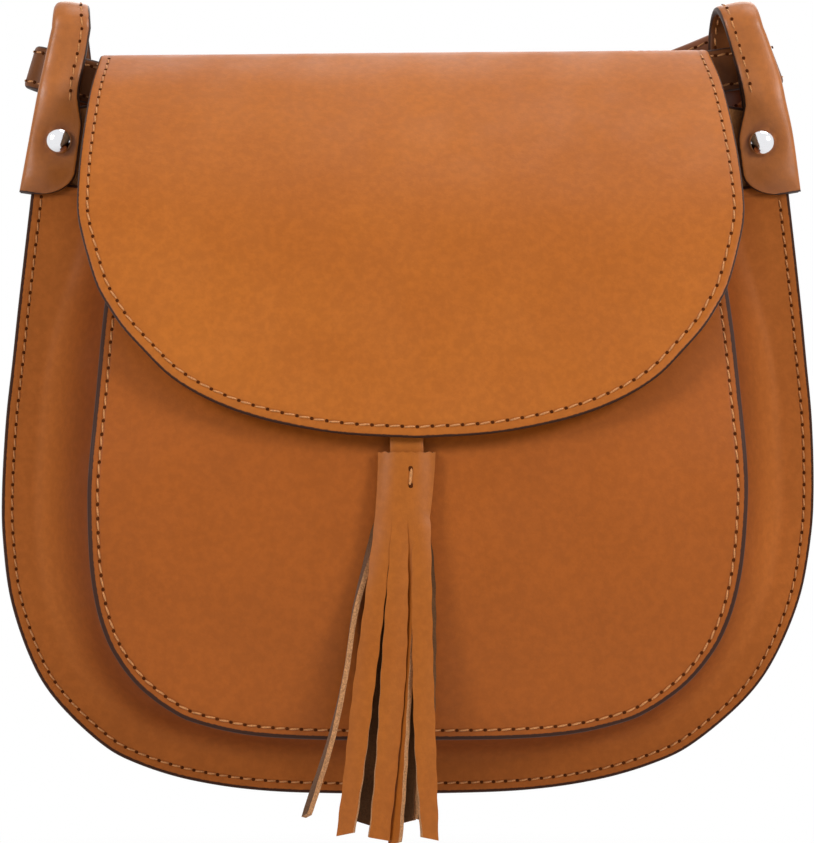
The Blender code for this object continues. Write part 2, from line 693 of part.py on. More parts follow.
class Route:
    """A strap laid out flat, then folded. Directions are seen from the front of the bag."""

    def __init__(self, start, depth, heading_deg):
        self.start = np.array(start, dtype=float)
        self.heading_deg = heading_deg
        self.place = self.start.copy()
        self.depth = depth
        self.start_depth = depth
        self.now_deg = heading_deg
        self.side = 1.0
        self.flat_lengths = [0.0]
        self.flat_turns = []
        self.folds = []

    def run(self, length, to_deg=None):
        """Go on by a length, curving evenly to a new direction."""
        turn = 0.0 if to_deg is None else (to_deg - self.now_deg + 180.0) % 360.0 - 180.0
        middle = math.radians(self.now_deg + turn / 2)
        bow = math.radians(turn) / 2
        chord = length * (math.sin(bow) / bow if abs(bow) > 1e-9 else 1.0)
        self.place = self.place + chord * np.array([math.cos(middle), math.sin(middle)])
        self.now_deg += turn
        self.flat_lengths.append(self.flat_lengths[-1] + length)
        self.flat_turns.append(math.radians(turn) * self.side / max(length, 1e-9))
        return self

    def fold_angle(self, next_deg):
        """Slant of the crease that sends the strap off in the next direction."""
        slant = (next_deg - self.now_deg - 180.0) / 2
        return (slant + 90.0) % 180.0 - 90.0

    def fold_shift(self, next_deg, radius, slip=0.0):
        """How far the strap's middle line moves sideways in a fold."""
        slant = math.radians(self.fold_angle(next_deg))
        along = math.radians(self.now_deg) + slant
        shift = slip - math.pi * radius * math.tan(slant)
        return shift * np.array([-math.sin(along), math.cos(along)])

    def fold(self, next_deg, radius, rearward, slip=0.0):
        """Turn the strap over a crease, to the rear or to the front."""
        slant = math.radians(self.fold_angle(next_deg))
        toward = -self.side if rearward else self.side
        self.folds.append((self.flat_lengths[-1], slant * self.side, radius, toward, slip * self.side))
        self.place = self.place + self.fold_shift(next_deg, radius, slip)
        self.now_deg = self.now_deg + 180.0 + 2 * math.degrees(slant)
        self.depth += 2 * radius if rearward else -2 * radius
        crease = math.pi * radius / math.cos(slant)
        self.flat_lengths.append(self.flat_lengths[-1] + crease)
        self.flat_turns.append(0.0)
        self.side = -self.side
        return self

    def total(self):
        """Length of the whole strap."""
        return self.flat_lengths[-1]

    def flat(self, along, across):
        """Flat places of points along and across the strap."""
        stations = np.array(self.flat_lengths)
        turns = np.array(self.flat_turns)
        angle = 0.0
        spot = np.zeros(2)
        flat_x = np.zeros_like(along)
        flat_y = np.zeros_like(along)
        for index, turn in enumerate(turns):
            first, last = stations[index], stations[index + 1]
            inside = (along >= first) & ((along <= last) if index == len(turns) - 1 else (along < last))
            reach = along - first
            here = angle + turn * reach
            bow = turn * reach / 2
            chord = reach * np.sinc(bow / math.pi)
            centre_x = spot[0] + chord * np.cos(angle + bow)
            centre_y = spot[1] + chord * np.sin(angle + bow)
            flat_x = np.where(inside, centre_x - across * np.sin(here), flat_x)
            flat_y = np.where(inside, centre_y + across * np.cos(here), flat_y)
            whole = last - first
            bow = turn * whole / 2
            chord = whole * np.sinc(bow / math.pi)
            spot = spot + chord * np.array([math.cos(angle + bow), math.sin(angle + bow)])
            angle = angle + turn * whole
        return flat_x, flat_y

    def solid_points(self, along, across, up):
        """Folded places of points along, across and above the strap's middle surface."""
        flat_x, flat_y = self.flat(along, across)
        crease_x, crease_y = self.flat(np.array([f[0] for f in self.folds]), np.zeros(len(self.folds)))
        x, y, n = flat_x.copy(), flat_y.copy(), up.astype(float).copy()
        for index in reversed(range(len(self.folds))):
            station, slant, radius, toward, slip = self.folds[index]
            heading = self.flat_heading(station) + slant
            ux, uy = math.cos(heading), math.sin(heading)
            fx, fy = crease_x[index], crease_y[index]
            reach = (flat_x - fx) * ux + (flat_y - fy) * uy
            angle = np.clip(reach / radius, 0.0, math.pi)
            x = x - radius * angle * ux - slip * angle / math.pi * uy
            y = y - radius * angle * uy + slip * angle / math.pi * ux
            along_u = (x - fx) * ux + (y - fy) * uy
            along_a = -(x - fx) * uy + (y - fy) * ux
            height = n - toward * radius
            bend = toward * angle
            new_u = along_u * np.cos(bend) - height * np.sin(bend)
            n = toward * radius + along_u * np.sin(bend) + height * np.cos(bend)
            x = fx + new_u * ux - along_a * uy
            y = fy + new_u * uy + along_a * ux
        heading = math.radians(self.heading_deg)
        world_x = self.start[0] + x * math.cos(heading) - y * math.sin(heading)
        world_z = self.start[1] + x * math.sin(heading) + y * math.cos(heading)
        return np.stack([world_x, self.start_depth - n, world_z], axis=-1)

    def flat_heading(self, station):
        """Flat direction of the strap at a station."""
        stations = np.array(self.flat_lengths)
        angle = 0.0
        for index, turn in enumerate(self.flat_turns):
            angle += turn * np.clip(station - stations[index], 0.0, stations[index + 1] - stations[index])
        return angle

    def stations(self):
        """Rows along the strap's middle line, close together where it folds."""
        marks = list(self.flat_lengths)
        for station, slant, radius, _toward, _slip in self.folds:
            crease = math.pi * radius / math.cos(slant)
            marks.extend(np.linspace(station, station + crease, FOLD_ROWS)[1:-1])
        marks = sorted(marks)
        rows = [marks[0]]
        for following in marks[1:]:
            if following - rows[-1] < FOLD_STEP / 4:
                continue
            count = int(math.ceil((following - rows[-1]) / RUN_STEP))
            rows.extend(np.linspace(rows[-1], following, count + 1)[1:])
        rows[-1] = marks[-1]
        return np.array(rows)

    def skew(self, rows):
        """Slope of each row across the strap, so that rows lie along the creases."""
        knots = [(0.0, 0.0)]
        for station, slant, radius, _toward, _slip in self.folds:
            if station - knots[-1][0] > 2 * SKEW_REACH:
                knots.append((knots[-1][0] + SKEW_REACH, 0.0))
                knots.append((station - SKEW_REACH, 0.0))
            knots.append((station, math.tan(slant)))
            knots.append((station + math.pi * radius / math.cos(slant), math.tan(slant)))
        if self.total() > knots[-1][0] + SKEW_REACH:
            knots.append((knots[-1][0] + SKEW_REACH, 0.0))
        return np.interp(rows, [knot[0] for knot in knots], [knot[1] for knot in knots])


def strap_half_widths(along):
    """Half widths (inner, outer) of a strap, from its tongue on."""
    blend = eased((along - TONGUE_LENGTH) / TONGUE_BLEND)
    later = np.clip((along - UPRIGHT_LENGTH - TONGUE_BLEND) / TONGUE_BLEND, 0.0, 1.0)
    narrow = ARCH_STRAP_WIDTH + (STRAP_WIDTH - ARCH_STRAP_WIDTH) * later
    half = (TONGUE_WIDTH + (narrow - TONGUE_WIDTH) * blend) / 2
    toe = TONGUE_TOE * (1 - np.sqrt(1 - np.clip(1 - along / TONGUE_TOE, 0.0, 1.0) ** 2))
    return half - toe, half


def tongue_thickness():
    """Both leaves of the tongue with the panel's edge between them."""
    return 2 * TONGUE_LEAF + rear_flange_depth() + GUSSET_LEATHER / 2 + BODY_LEATHER / 2 + 2 * GAP


def tongue_middle():
    """Place of the tongue's middle, front to back, from the back panel's middle."""
    front = rear_flange_depth() + GUSSET_LEATHER / 2 + GAP + TONGUE_LEAF
    return tongue_thickness() / 2 - front


def strap_thickness(along):
    """Thickness of a strap: a folded tongue at its root, a flat strap beyond."""
    blend = eased((along - TONGUE_LENGTH) / TONGUE_BLEND)
    return tongue_thickness() + (STRAP_THICKNESS - tongue_thickness()) * blend


def strap_piece(name, route, inner_side, tip_length, material):
    """A strap's solid: rows along it, columns across both faces."""
    start_rows = np.array(TOE_ROW_SHARES) * TONGUE_TOE
    rows = route.stations()
    upright_rows = np.linspace(TONGUE_LENGTH, TONGUE_LENGTH + TONGUE_BLEND, 4)
    end_rows = route.total() - np.array(TIP_ROW_SHARES) * tip_length
    rows = np.unique(np.round(np.concatenate([start_rows, rows, upright_rows, end_rows]), 6))
    inner, outer = strap_half_widths(rows)
    left = np.where(inner_side > 0, inner, outer)
    right = np.where(inner_side > 0, outer, inner)
    left_end, right_end = left.copy(), right.copy()
    if tip_length > 0:
        share = np.clip(1 - (route.total() - rows) / tip_length, 0.0, 1.0)
        narrowing = np.sqrt(np.maximum(1 - share ** 2, TIP_END_SHARE))
        left_end = left * narrowing
        right_end = right * narrowing
    shares = np.linspace(0.0, 1.0, 5)
    across = left_end[:, None] - (left_end + right_end)[:, None] * shares
    along = rows[:, None] - across * route.skew(rows)[:, None]
    half = strap_thickness(rows)[:, None] / 2 + 0 * along
    top = route.solid_points(along, across, half)
    bottom = route.solid_points(along, across, -half)
    loop = np.concatenate([top, bottom[:, ::-1]], axis=1)
    count = loop.shape[1]
    faces = []
    for row in range(len(rows) - 1):
        for column in range(count):
            following = (column + 1) % count
            faces.append((row * count + column, row * count + following,
                          (row + 1) * count + following, (row + 1) * count + column))
    for row in (0, len(rows) - 1):
        for column in range(len(shares) - 1):
            opposite = count - 1 - column
            faces.append((row * count + column, row * count + column + 1,
                          row * count + opposite - 1, row * count + opposite))
    return outward(add_object(name, loop.reshape(-1, 3), faces, material))


def strap_start(spread, lean_deg, side):
    """Where a tongue begins, so that its upright reaches the arch."""
    heading = math.radians(90.0 + side * lean_deg)
    end = np.array([side * spread, RAIL_ABOVE_FOLD])
    return end - UPRIGHT_LENGTH * np.array([math.cos(heading), math.sin(heading)]), 90.0 + side * lean_deg


def short_route():
    """The left strap: tongue, arch and a straight leg down to the buckle's bar."""
    start, heading = strap_start(ARCH_SPREAD_LEFT, LEAN_LEFT_DEG, -1.0)
    route = Route(start, tongue_middle(), heading)
    route.run(UPRIGHT_LENGTH)
    route.fold(LEFT_LEG_DEG, ARCH_RADIUS_LEFT, True)
    route.run((route.place[1] + BUCKLE_DROP) / -math.sin(math.radians(LEFT_LEG_DEG)))
    return route


def bar_fold_radius():
    """Radius of the short strap's middle surface round the buckle's bar."""
    return BUCKLE_ROD + GAP + STRAP_THICKNESS / 2


def long_route(short):
    """The right strap: over its arch, twice across behind the bag, and back up to the buckle."""
    start, heading = strap_start(ARCH_SPREAD_RIGHT, LEAN_RIGHT_DEG, 1.0)
    route = Route(start, tongue_middle(), heading)
    route.run(UPRIGHT_LENGTH)
    route.fold(270.0, ARCH_RADIUS_RIGHT, True, ARCH_SLIP_RIGHT)
    route.run(RIGHT_LEG_LENGTH)
    route.fold(REAR_BAND_START_DEG, CORNER_RADIUS, True)
    for share, direction in REAR_BAND_SHARES:
        route.run(share * REAR_BAND_LENGTH, direction)
    route.fold(route.now_deg + 180.0, LEFT_TURN_RADIUS, False)
    for share, direction in FRONT_BAND_SHARES:
        route.run(share * FRONT_BAND_LENGTH, direction)
    route.fold(DIAGONAL_DEG, RIGHT_TURN_RADIUS, True)
    tail_deg = LEFT_LEG_DEG - 180.0
    diagonal = math.radians(route.now_deg)
    onward = np.array([math.cos(diagonal), math.sin(diagonal)])
    across = np.array([-math.sin(math.radians(tail_deg)), math.cos(math.radians(tail_deg))])
    shift = route.fold_shift(tail_deg, TAIL_TURN_RADIUS)
    missing = np.dot(short.place - route.place - shift, across)
    route.run(missing / np.dot(onward, across))
    route.fold(tail_deg, TAIL_TURN_RADIUS, True)
    route.run((-TAIL_END_DROP - route.place[1]) / math.sin(math.radians(tail_deg)))
    return route


def panel_edge_cutter(name, side):
    """The space that back panel and gusset flange take up between a tongue's two leaves."""
    outline = back_half_outline()
    drops = outline[:, 1]
    near = (drops > hinge_clearance() + 2 * FLAP_CORNER) & (drops < 2 * TONGUE_LENGTH)
    edge = (outline - 2 * GAP * inward_normals(outline))[near]
    inside = NECK_WIDTH / 2 - SHOULDER_ROUND
    points = np.vstack([[(inside, edge[0, 1])], edge, [(inside, edge[-1, 1])]])
    front = -(rear_flange_depth() + GUSSET_LEATHER / 2 + GAP)
    rear = BODY_LEATHER / 2 + GAP
    count = len(points)
    vertices = []
    for depth in (front, rear):
        for half, drop in points:
            vertices.append((side * half, depth, -drop))
    faces = [tuple(range(count)), tuple(range(2 * count - 1, count - 1, -1))]
    for index in range(count):
        following = (index + 1) % count
        faces.append((index, following, following + count, index + count))
    return outward(add_object(name, np.array(vertices), faces, leather(name)))


def rivet(side_name, place_x, pieces):
    """A domed rivet: dome and post in front, a turned cap behind, and the holes between."""
    centre = np.array([place_x, 0.0, -RIVET_DROP])
    front = -(rear_flange_depth() + GUSSET_LEATHER / 2 + GAP + TONGUE_LEAF)
    rear = BODY_LEATHER / 2 + GAP + TONGUE_LEAF
    seat = -front + GAP
    foot = -(rear + GAP + RIVET_CAP_HEIGHT * RIVET_FOOT_SHARE)
    rim = RIVET_DOME_HEIGHT * RIVET_RIM_SHARE
    angles = np.linspace(0.0, math.pi / 2, 6)[:-1]
    dome = [(RIVET_DOME_RADIUS * math.cos(a), seat + rim + (RIVET_DOME_HEIGHT - rim) * math.sin(a))
            for a in angles]
    profile = [(0.0, foot), (RIVET_POST_RADIUS, foot), (RIVET_POST_RADIUS, seat),
               (RIVET_DOME_RADIUS * RIVET_SEAT_SHARE, seat)] + dome + [(0.0, seat + RIVET_DOME_HEIGHT)]
    forward = (0.0, -1.0, 0.0)
    turned("rivet_" + side_name, profile, centre, forward, metal("rivet_" + side_name), 20)
    bore = RIVET_POST_RADIUS + GAP
    base = -(rear + GAP)
    cap = ((0.0, base - RIVET_CAP_HEIGHT),
           (RIVET_CAP_RADIUS * RIVET_CAP_FACE_SHARE, base - RIVET_CAP_HEIGHT),
           (RIVET_CAP_RADIUS, base - RIVET_CAP_HEIGHT / 2), (RIVET_CAP_RADIUS, base), (bore, base),
           (bore, foot - GAP), (0.0, foot - GAP))
    turned("rivet_cap_" + side_name, cap, centre, forward, metal("rivet_cap_" + side_name), 20)
    for piece in pieces:
        cutter = rod_cutter("rivet_hole_" + side_name + "_" + piece.name, centre, forward, bore,
                            2 * tongue_thickness(), 16)
        cut(piece, cutter)


def straps(back, band):
    """Both straps, their tongues slotted over the panel's edge and riveted."""
    short = short_route()
    bar_place = short.place.copy()
    leg_depth = short.depth
    short_full = short_route()
    short_full.fold(LEFT_LEG_DEG - 180.0, bar_fold_radius(), False)
    short_full.run(FOLD_BACK)
    long = long_route(short)
    left = strap_piece("strap_short", short_full, -1.0, 0.0, leather("strap_short"))
    right = strap_piece("strap_long", long, 1.0, STRAP_WIDTH / 2, leather("strap_long"))
    cut(left, panel_edge_cutter("tongue_slot_left", -1.0))
    cut(right, panel_edge_cutter("tongue_slot_right", 1.0))
    rivet("left", -ARCH_SPREAD_LEFT - RIVET_OUTSIDE_ARCH_LEFT, (left, back, band))
    rivet("right", ARCH_SPREAD_RIGHT + RIVET_OUTSIDE_ARCH_RIGHT, (right, back, band))
    return left, right, bar_place, leg_depth, long


def buckle_axes():
    """Directions of the left leg: down along it, and across it to the right."""
    down = math.radians(LEFT_LEG_DEG)
    along = np.array([math.cos(down), 0.0, math.sin(down)])
    across = np.array([-math.sin(down), 0.0, math.cos(down)])
    return along, across


def rod_object(name, points, radius, cyclic, material):
    """A round rod along a line of points."""
    points = np.array(points, dtype=float)
    ahead = np.roll(points, -1, axis=0) - points
    behind = points - np.roll(points, 1, axis=0)
    if not cyclic:
        ahead[-1] = behind[-1]
        behind[0] = ahead[0]
    forward = unit_rows(unit_rows(ahead) + unit_rows(behind))
    spread = 1 / np.maximum(np.sum(forward * unit_rows(ahead), axis=1), 0.5)
    side = np.cross(forward[0], SKEW_DIRECTION)
    vertices = []
    faces = []
    for index, (place, direction) in enumerate(zip(points, forward)):
        side = side - direction * np.dot(side, direction)
        side = side / np.linalg.norm(side)
        other = np.cross(direction, side)
        bend = unit_rows(ahead[index:index + 1])[0] - unit_rows(behind[index:index + 1])[0]
        size = np.linalg.norm(bend)
        bend = bend / size if size > 1e-6 else bend * 0.0
        for step in range(ROD_SIDES):
            angle = math.tau * step / ROD_SIDES
            ray = radius * (math.cos(angle) * side + math.sin(angle) * other)
            vertices.append(place + ray + bend * np.dot(bend, ray) * (spread[index] - 1))
    count = len(points)
    for index in range(count if cyclic else count - 1):
        first = index * ROD_SIDES
        second = ((index + 1) % count) * ROD_SIDES
        for step in range(ROD_SIDES):
            following = (step + 1) % ROD_SIDES
            faces.append((first + step, first + following, second + following, second + step))
    if not cyclic:
        faces.append(tuple(range(ROD_SIDES)))
        faces.append(tuple(range((count - 1) * ROD_SIDES, count * ROD_SIDES)))
    return outward(add_object(name, np.array(vertices), faces, material))


def buckle(left, right, bar_place, leg_depth, long):
    """Heel-bar buckle: the frame on the short strap's loop, the prong through the tail's hole."""
    along, across = buckle_axes()
    rear = np.array([0.0, 1.0, 0.0])
    bar = np.array([bar_place[0], leg_depth - bar_fold_radius(), bar_place[1]])
    tail_depth = long.depth
    end = bar + along * BUCKLE_LENGTH
    end[1] = tail_depth + STRAP_THICKNESS / 2 + GAP + BUCKLE_ROD
    half = STRAP_WIDTH / 2 + BUCKLE_SIDE_ROOM + BUCKLE_ROD
    corner = BUCKLE_CORNER
    span = end - bar
    length = np.linalg.norm(span)
    forth = span / length
    points = []
    for sign, reach, start_deg in ((-1, corner, 180), (-1, length - corner, 90),
                                   (1, length - corner, 0), (1, corner, -90)):
        for turn in (90, 45, 0):
            angle = math.radians(start_deg + turn)
            aside = sign * (half - corner) + corner * math.cos(angle)
            points.append(bar + across * aside + forth * (reach + corner * math.sin(angle)))
    rod_object("buckle_frame", np.array(points), BUCKLE_ROD, True, metal("buckle_frame"))

    tip = end + rear * (BUCKLE_ROD + GAP + PRONG_ROD) + forth * BUCKLE_ROD / 2
    eye = BUCKLE_ROD + GAP + PRONG_ROD
    ring = [bar + eye * (math.cos(angle) * along + math.sin(angle) * rear)
            for angle in np.radians(np.linspace(*PRONG_EYE_DEG, 9))]
    through = bar + along * PRONG_HOLE_SHARE * BUCKLE_LENGTH + rear * (tail_depth - bar[1])
    proud = STRAP_THICKNESS / 2 + PRONG_ROD
    before = through - along * PRONG_SLANT - rear * proud
    over = through + along * PRONG_SLANT + rear * proud
    points = np.vstack([ring, smooth_curve([ring[-1], before, through, over, tip], 2)[2:]])
    rod_object("buckle_prong", points, PRONG_ROD, False, metal("buckle_prong"))

    loop = bar_fold_radius()
    slot = (3 * loop + 2 * STRAP_THICKNESS, 2 * (PRONG_ROD + PRONG_SLOT_ROOM),
            2 * (loop + STRAP_THICKNESS))
    cut(left, box_cutter("prong_slot", bar - along * loop, along, across, rear, slot))
    for index in range(-1, HOLE_COUNT - 1):
        place = through + along * (index * HOLE_PITCH)
        hole = rod_cutter("strap_hole_%d" % (index + 1), place, (0.0, 1.0, 0.0),
                          HOLE_RADIUS + (PRONG_ROD if index == 0 else 0.0), 3 * STRAP_THICKNESS, 12)
        cut(right, hole)
    return bar


def box_cutter(name, centre, along, across, rear, sizes):
    """A hidden box, centred, with its sides along three directions."""
    length, width, depth = np.array(sizes) / 2
    corners = []
    for i in (-1, 1):
        for j in (-1, 1):
            for k in (-1, 1):
                corners.append(centre + i * length * along + j * width * across + k * depth * rear)
    faces = [(0, 1, 3, 2), (4, 6, 7, 5), (0, 4, 5, 1), (2, 3, 7, 6), (0, 2, 6, 4), (1, 5, 7, 3)]
    return outward(add_object(name, np.array(corners), faces, leather(name)))


def keeper(name, drop, bar_place, leg_depth, tail_depth, colour):
    """A leather loop round the short strap and the tail."""
    along, across = buckle_axes()
    reach = (-drop - bar_place[1]) / along[2]
    middle = np.array([bar_place[0], (leg_depth + tail_depth) / 2, bar_place[1]]) + along * reach
    half_width = STRAP_WIDTH / 2 + GAP + KEEPER_LEATHER / 2
    half_depth = (tail_depth - leg_depth + STRAP_THICKNESS) / 2 + GAP + KEEPER_LEATHER / 2
    corner = KEEPER_LEATHER
    ring = []
    for sx, sy, start in ((1, 1, 0), (-1, 1, 90), (-1, -1, 180), (1, -1, 270)):
        for turn in (0, 45, 90):
            angle = math.radians(start + turn)
            ring.append((sx * (half_width - corner) + corner * math.cos(angle),
                         sy * (half_depth - corner) + corner * math.sin(angle)))
    vertices = []
    faces = []
    for level in (-0.5, 0.5):
        for x_half, y_half in ring:
            vertices.append(middle + along * (level * KEEPER_HEIGHT) + across * x_half
                            + np.array([0.0, y_half, 0.0]))
    count = len(ring)
    for index in range(count):
        following = (index + 1) % count
        faces.append((index, following, following + count, index + count))
    piece = add_object(name, np.array(vertices), faces, leather(name, colour))
    return give_thickness(piece, KEEPER_LEATHER)


def head_top_drop():
    """Drop of the tassel's head below the fold."""
    tip = flap_points(np.array(0.0), np.array(flap_length()), 0.0)
    return -tip[2] + TASSEL_HEAD_BELOW_FLAP


def leaf_spacing():
    """Distance between the middle surfaces of a leaf and of the tab inside the head."""
    return TASSEL_LEATHER / 2 + GAP + TAB_LEATHER / 2


def tab_points(along):
    """Middle of the tab: sewn inside the lining, it runs on past the flap's tip."""
    below = lining_below() + LINING_LEATHER / 2 + GAP + TAB_LEATHER / 2
    return flap_points(np.full(len(along), TASSEL_SIDE), along, below)


def tab_end():
    """Lower end of the tab, just above the tassel's head."""
    length = flap_length()
    drops = -tab_points(np.array([length, length + TAB_LEATHER]))[:, 2]
    wanted = head_top_drop() - TAB_END_GAP
    reach = TAB_LEATHER * (wanted - drops[0]) / (drops[1] - drops[0])
    return tab_points(np.array([length + reach]))[0], length + reach


def tassel_depth(drop):
    """Depth of the tassel's back leaf, leaning out over the front panel's belly."""
    reach = TASSEL_LENGTH * TASSEL_LEAN_SHARE
    share = np.clip((drop - head_top_drop()) / reach, 0.0, 1.0)
    start = -tab_end()[0][1] - leaf_spacing()
    return start + TASSEL_LEAN * (1 - (1 - share) ** 2)


def leaf(name, strips, forward, material):
    """One leaf of the tassel: a head slit into strips that drift apart as they hang."""
    top = head_top_drop()
    head_rows = np.linspace(0.0, 1.0, 4)
    strip_rows = np.linspace(0.0, 1.0, 11)[1:]
    bounds = np.concatenate([[0.0], np.cumsum([strip[0] for strip in strips])])
    bounds = bounds / bounds[-1]
    columns = np.unique(np.concatenate([np.linspace(a, b, 3) for a, b in zip(bounds, bounds[1:])]))
    vertices = []
    faces = []
    for share in head_rows:
        width = TASSEL_HEAD_WIDTH + (TASSEL_NECK_WIDTH - TASSEL_HEAD_WIDTH) * share
        drop = top + share * TASSEL_HEAD_HEIGHT
        for column in columns:
            depth = tassel_depth(drop) + forward
            vertices.append((TASSEL_SIDE + width * (column - 0.5), -depth, -drop))
    count = len(columns)
    for row in range(len(head_rows) - 1):
        for column in range(count - 1):
            first = row * count + column
            faces.append((first, first + count, first + count + 1, first + 1))
    base = (len(head_rows) - 1) * count
    fringe = TASSEL_LENGTH - TASSEL_HEAD_HEIGHT
    for index, (_share, drift, length) in enumerate(strips):
        previous = [base + 2 * index + k for k in range(3)]
        left, right = bounds[index], bounds[index + 1]
        for share in strip_rows:
            fall = share * length
            drop = top + TASSEL_HEAD_HEIGHT + fall * fringe
            centre = TASSEL_NECK_WIDTH * ((left + right) / 2 - 0.5)
            centre += TASSEL_DRIFT * drift * (fall + STRIP_CURL * (fall ** 2 - fall))
            half = TASSEL_NECK_WIDTH * (right - left) / 2
            half -= min(SLIT_WIDTH / 2, half * SLIT_SHARE) * min(share * SLIT_TAPER, 1.0)
            row = []
            for column in (-1.0, 0.0, 1.0):
                row.append(len(vertices))
                vertices.append((TASSEL_SIDE + centre + half * column,
                                 -(tassel_depth(drop) + forward), -drop))
            for k in range(2):
                faces.append((previous[k], row[k], row[k + 1], previous[k + 1]))
            previous = row
    piece = add_object(name, np.array(vertices), faces, material)
    return give_thickness(piece, TASSEL_LEATHER)


def strip_sheet(name, middle, half_widths, thickness, material):
    """A narrow strip along a line of points, its width along X."""
    across = np.linspace(-1.0, 1.0, 3)
    grid = np.zeros((len(middle), len(across), 3))
    grid[..., 0] = middle[:, :1] + np.asarray(half_widths)[:, None] * across
    grid[..., 1] = middle[:, 1:2]
    grid[..., 2] = middle[:, 2:3]
    return sheet(name, grid, thickness, material)


def tassel():
    """The tab under the flap and the folded, slit leather of the tassel."""
    end, length = tab_end()
    along = np.linspace(flap_length() - TAB_ROOT_BEHIND_TIP, length, 6)
    middle = tab_points(along)
    widths = np.full(len(along), TAB_WIDTH / 2)
    strip_sheet("tassel_tab", middle, widths, TAB_LEATHER, leather("tassel_tab", BROWN))
    spacing = leaf_spacing()
    drops = head_top_drop() + np.linspace(0.0, 1.0, 4) * TAB_IN_HEAD
    neck = np.array([(TASSEL_SIDE, -(float(tassel_depth(drop)) + spacing), -drop) for drop in drops])
    strip_sheet("tassel_neck", neck, np.array(NECK_WIDTH_SHARES) * TAB_WIDTH / 2, TAB_LEATHER,
                leather("tassel_neck", BROWN))
    leaf("tassel_back", BACK_STRIP_SHARES, 0.0, leather("tassel_back", BROWN))
    leaf("tassel_front", FRONT_STRIP_SHARES, 2 * spacing, leather("tassel_front"))
    swing = end + np.array([0.0, -TAB_LEATHER / 2, 0.0])
    stitch_drop = head_top_drop() + STITCH_BELOW_HEAD
    near = [float(tassel_depth(stitch_drop + step)) for step in (-TAB_LEATHER, 0.0, TAB_LEATHER)]
    stitch = np.array([TASSEL_SIDE, -(near[1] + spacing), -stitch_drop])
    slope = (near[2] - near[0]) / (2 * TAB_LEATHER)
    return swing, stitch, unit_rows(np.array([[0.0, -1.0, slope]]))[0]


def build_bag():
    """Make every piece of the bag."""
    clear_scene()
    back = back_panel()
    band = gusset()
    front = front_panel()
    flap()
    flap_lining()
    snap_cup()
    snap_stud(front)
    left, right, bar_place, leg_depth, long = straps(back, band)
    bar = buckle(left, right, bar_place, leg_depth, long)
    keeper("keeper_fixed", KEEPER_FIXED_DROP, bar_place, leg_depth, long.depth, TAN)
    keeper("keeper_sliding", KEEPER_SLIDING_DROP, bar_place, leg_depth, long.depth, BROWN)
    swing, stitch, sway = tassel()
    joints = to_part_frame(np.array([[0.0, 0.0, 0.0], swing, stitch, bar]))
    for name, place in zip(("flap_hinge", "tassel_swing", "tassel_sway", "prong_hinge"), joints):
        print(name, "at", place.round(5))
    print("sway axis", sway.round(5), "strap direction", buckle_axes()[0].round(5))
    print("long strap length", round(long.total(), 4))


build_bag()
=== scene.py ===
"""Leather shoulder bag: the looks of a saddle-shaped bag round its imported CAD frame.

Metres, +Z up, front towards -Y. Shapes are worked out in a frame whose origin is the fold of
the flap, as (x, y, z), and move to the part's own frame when their meshes are made.
"""

import math

import bmesh
import bpy
import numpy as np
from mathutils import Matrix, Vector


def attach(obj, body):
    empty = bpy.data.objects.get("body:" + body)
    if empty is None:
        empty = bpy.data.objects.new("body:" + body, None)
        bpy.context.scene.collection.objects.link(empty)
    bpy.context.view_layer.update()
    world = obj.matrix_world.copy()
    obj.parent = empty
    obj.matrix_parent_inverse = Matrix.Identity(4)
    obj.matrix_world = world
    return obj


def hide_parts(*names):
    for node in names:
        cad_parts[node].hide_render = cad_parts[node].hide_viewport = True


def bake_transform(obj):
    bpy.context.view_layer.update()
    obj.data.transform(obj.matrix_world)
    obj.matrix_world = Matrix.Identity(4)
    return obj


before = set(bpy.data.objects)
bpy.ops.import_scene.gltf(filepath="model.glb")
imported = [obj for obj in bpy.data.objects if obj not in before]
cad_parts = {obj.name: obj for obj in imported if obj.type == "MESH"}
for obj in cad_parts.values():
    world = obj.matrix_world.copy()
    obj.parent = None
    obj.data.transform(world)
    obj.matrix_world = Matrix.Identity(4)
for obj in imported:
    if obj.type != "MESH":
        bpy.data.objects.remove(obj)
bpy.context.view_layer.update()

bl_info = {
    "name": "Leather Shoulder Bag",
    "version": (1, 0, 0),
    "blender": (4, 5, 0),
    "location": "View3D > Sidebar > Bag",
    "description": "Saddle-shaped leather bag with a flap, a tassel and a folded strap",
    "category": "Add Mesh",
}

MM = 0.001
FOLD = np.array([0.0, -5.8, -8.0]) * MM
# Clear space between pieces that lie on each other
GAP = 0.3 * MM
# How far the body and the flap stand to one side
BODY_SET = 1.3 * MM
FLAP_SET = np.array([0.7, 0.0]) * MM

# The photograph's height, the size of its pixels at the back panel, and where its camera stood
IMAGE_HEIGHT = 843
PIXEL = 0.309 * MM
CAMERA_DISTANCE = 1300 * MM
CAMERA_ASIDE = -45.4 * MM
CAMERA_DROP = 113.2 * MM

